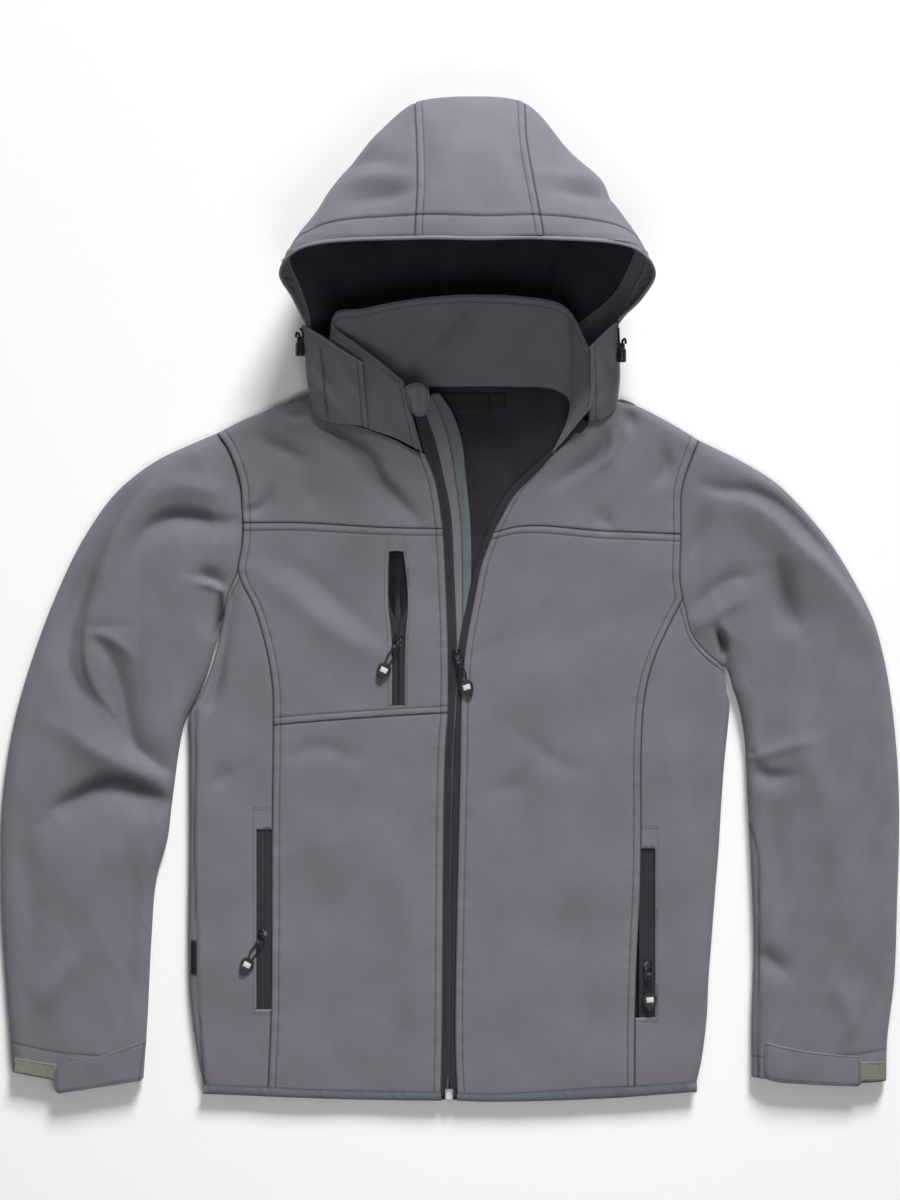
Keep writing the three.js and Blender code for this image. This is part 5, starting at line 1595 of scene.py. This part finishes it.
# Each zip pull: where its slider is, which way the slider points and which way the pull hangs
zip_pulls = {
    "main": ((7, -55), (1, -14), (13, -43)),
    "chest": ((-51, -40), (0, -1), (-19, -38)),
    "hand_right": ((-187, -335), (0, -1), (-22, -41)),
    "hand_left": ((197.5, -366), (-1, -20), (3, -44)),
}


def make_slider(name, place, along):
    """A slider body with top and foot plate, side rails and the bridge that holds the pull."""
    nose, half = 4.5, 6.5
    outline = [(-nose * 0.5, -half), (nose * 0.5, -half), (nose * 0.78, -1.5), (nose, half - 3.4),
               (nose * 0.86, half - 0.6), (nose * 0.4, half), (0, half - 1.4), (-nose * 0.4, half),
               (-nose * 0.86, half - 0.6), (-nose, half - 3.4), (-nose * 0.78, -1.5)]
    top = plate(outline, 0.35, 1.3, 0.3)
    foot = plate(outline, -1.3, -0.35, 0.3)
    core = plate([(-1.2, -1), (1.2, -1), (1.6, half - 2), (-1.6, half - 2)], -0.6, 0.6, 0.1)
    rails = [plate([(s * (nose - 0.9), half - 3.6), (s * (nose - 0.1), half - 3.6),
                    (s * (nose * 0.5), -half), (s * (nose * 0.5 - 0.8), -half)][::s], -0.5, 0.5, 0.15)
             for s in (1, -1)]
    arch = tube([(0, -3.6, 1.0), (0, -3.5, 3.1), (0, -2.2, 3.95), (0, 2.2, 3.95), (0, 3.5, 3.1),
                 (0, 3.6, 1.0)], 0.62, 10)
    piece = unite(f"slider_{name}_cast", [top, foot, core, *rails, arch], slider_metal, BODY,
                  math.atan2(along[0], -along[1]), (*place, SLIDER_Z))
    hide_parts(f"slider_{name}")


def make_pull(name, place, towards):
    """A zip pull: metal tab with its end bar, cord loop, and moulded grip with a pale bar."""
    body = f"pull_{name}"
    angle = math.atan2(towards[0], -towards[1])
    bar = start("cylinder", radius=0.55, depth=7, vertices=12, rotation=(0, math.pi / 2, 0))
    frame = stretched_ring(0, -3.2, 0, 3.1, 3.4, 0.55)
    neck = plate([(-3.0, -5.4), (3.0, -5.4), (3.5, -7.2), (3.3, -11.8), (2.2, -13), (-2.2, -13),
                  (-3.3, -11.8), (-3.5, -7.2)], -0.5, 0.55, 0.3, dish=(0.8, 0.4))
    eye = stretched_ring(0, -10.4, 0.3, 1.9, 1.5, 0.45)
    metal = unite(f"pull_{name}_tab", [bar, frame, neck, eye], slider_metal, body, angle,
                  (*place, PIVOT_Z))
    strands = [tube([(s * 1.1, -10.6, 0.5), (s * 2.0, -14, 0.3), (s * 3.0, -19, 0), (s * 2.2, -25, 0),
                     (s * 1.8, -30, 0)], 0.8) for s in (1, -1)]
    crown = tube([(-1.1, -10.6, 0.5), (0, -9.4, 0.9), (1.1, -10.6, 0.5)], 0.8)
    unite(f"pull_{name}_cord", [*strands, crown], cord_look, body, angle, (*place, PIVOT_Z))
    outline = [(-2.6, -26.6), (2.6, -26.6), (5.4, -28.4), (7, -32), (5.8, -38), (2.2, -44.6), (-2.2, -44.6),
               (-5.8, -38), (-7, -32), (-5.4, -28.4)]
    shield = plate(outline, -1.1, 1.1, 0.45, dish=(1.0, 0.35))
    ridges = [plate([(-w, y), (w, y), (w, y - 0.7), (-w, y - 0.7)], 0.6, 1.15, 0.15) for w, y in
              ((3.8, -39.2), (2.9, -40.8), (2.1, -42.3))]
    unite(f"pull_{name}_grip", [shield, *ridges], grip_rubber, body, angle, (*place, PIVOT_Z))
    light = plate([(-3.6, -31), (3.6, -31), (3.6, -36.2), (-3.6, -36.2)], 0.6, 1.3, 0.25)
    unite(f"pull_{name}_bar", [light], pale_bar, body, angle, (*place, PIVOT_Z))
    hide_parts(body)


def make_zip_ends():
    for name, (place, along, towards) in zip_pulls.items():
        make_slider(name, place, along)
        make_pull(name, place, towards)
    box = plate([(-5, -500), (3, -500), (3, -489.6), (1.6, -489), (-3.6, -489), (-5, -489.6)], 10.4, 12.2,
                0.4,
                dish=(0.8, 0.3))
    pin = tube([(-2.6, -489.5, 11.6), (-2.4, -484, 11.6), (-2.2, -478, 11.5)], 0.8)
    piece = unite("main_zip_box_cast", [box, pin], box_metal, BODY)
    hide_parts("main_zip_box")


def make_cord_locks():
    """The two cord locks at the brim's ends, each with the cord's run to the brim and a short loop."""
    for side, (x, y, z), brim in (("right", (-148.4, 252, 46), (-147.5, 268, 56)),
                                  ("left", (169.9, 246, 44), (166, 268, 58))):
        barrel = start("cylinder", radius=4.6, depth=13.5, vertices=28, rotation=(math.pi / 2, 0, 0),
                       location=(0, -3.8, 0))
        soften(barrel, 1.2, 3)
        button = start("cylinder", radius=3.3, depth=6, vertices=24, rotation=(math.pi / 2, 0, 0),
                       location=(0, 5.4, 0))
        soften(button, 0.8, 2)
        ribs = []
        for at_y in (-8.2, -5.8, -3.4, -1.0):
            rib = start("torus", major_radius=4.5, minor_radius=0.42, major_segments=28, minor_segments=6,
                        rotation=(math.pi / 2, 0, 0), location=(0, at_y, 0))
            ribs.append(rib)
        lock = unite(f"cord_lock_{side}_moulded", [barrel, button, *ribs], lock_plastic, BODY,
                     place=(x, y, z))
        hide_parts(f"cord_lock_{side}")
        sign = -1 if side == "right" else 1
        runs = [tube([(x - sign * 2, y + 2, z + 2), (x - sign * 3, y + 12, z + 6), brim], 1.15),
                tube([(x, y + 6, z), (x + sign * 1.5, y + 11.5, z + 1), (x + sign * 3.4, y + 12.5, z),
                      (x + sign * 4.2, y + 8, z - 1)],
                     1.15)]
        unite(f"brim_cord_{side}", runs, cord_look, BODY)


make_fronts()
make_back()
for side_name in ("right", "left"):
    make_sleeve(side_name)
make_hood()
make_collar()
make_hood_necks()
make_main_zip()
make_wind_flap()
make_hand_zips()
make_chest_zip()
make_hem_bindings()
make_cuffs()
make_chin_guard()
make_labels()
sew_all("topstitching")
make_zip_ends()
make_cord_locks()


# Camera, floor and light

def make_studio():
    """The photograph's own view: straight down from 3.33 m, 1200 mm of surface over the frame's height."""
    camera_data = bpy.data.cameras.new("camera")
    camera_data.lens = 100
    camera_data.sensor_width = 36
    camera_data.clip_end = 20
    camera = bpy.data.objects.new("camera", camera_data)
    camera.location = (0, 0, 3.333 + TORSO * MM)
    bpy.context.scene.collection.objects.link(camera)
    bpy.context.scene.camera = camera
    bpy.ops.mesh.primitive_plane_add(size=12, location=(0, 0, -0.0005))
    floor = bpy.context.active_object
    floor.name = "floor"
    floor_look, _, floor_shader = surface("pale paper sweep", 0.9)
    floor_shader.inputs["Base Color"].default_value = linear("#ffffff")
    floor.data.materials.append(floor_look)
    # each light: place, size and power
    for name, place, size, power in (("key", (1.7, 6.6, 3.7), 2.2, 800),
                                     ("front", (0.05, -0.5, 1.3), 0.7, 4.0),
                                     ("fill", (0.9, -1.8, 3.0), 1.6, 3)):
        lamp = bpy.data.lights.new(name, "AREA")
        lamp.size = size
        lamp.energy = power
        light = bpy.data.objects.new(name, lamp)
        light.location = place
        light.rotation_euler = Vector(place).to_track_quat("Z", "Y").to_euler()
        bpy.context.scene.collection.objects.link(light)
    world = bpy.data.worlds.new("studio")
    world.use_nodes = True
    background = world.node_tree.nodes["Background"]
    background.inputs["Color"].default_value = (1, 1, 1, 1)
    background.inputs["Strength"].default_value = 0.17
    bpy.context.scene.world = world
    bpy.context.scene.view_settings.view_transform = "Standard"


make_studio()
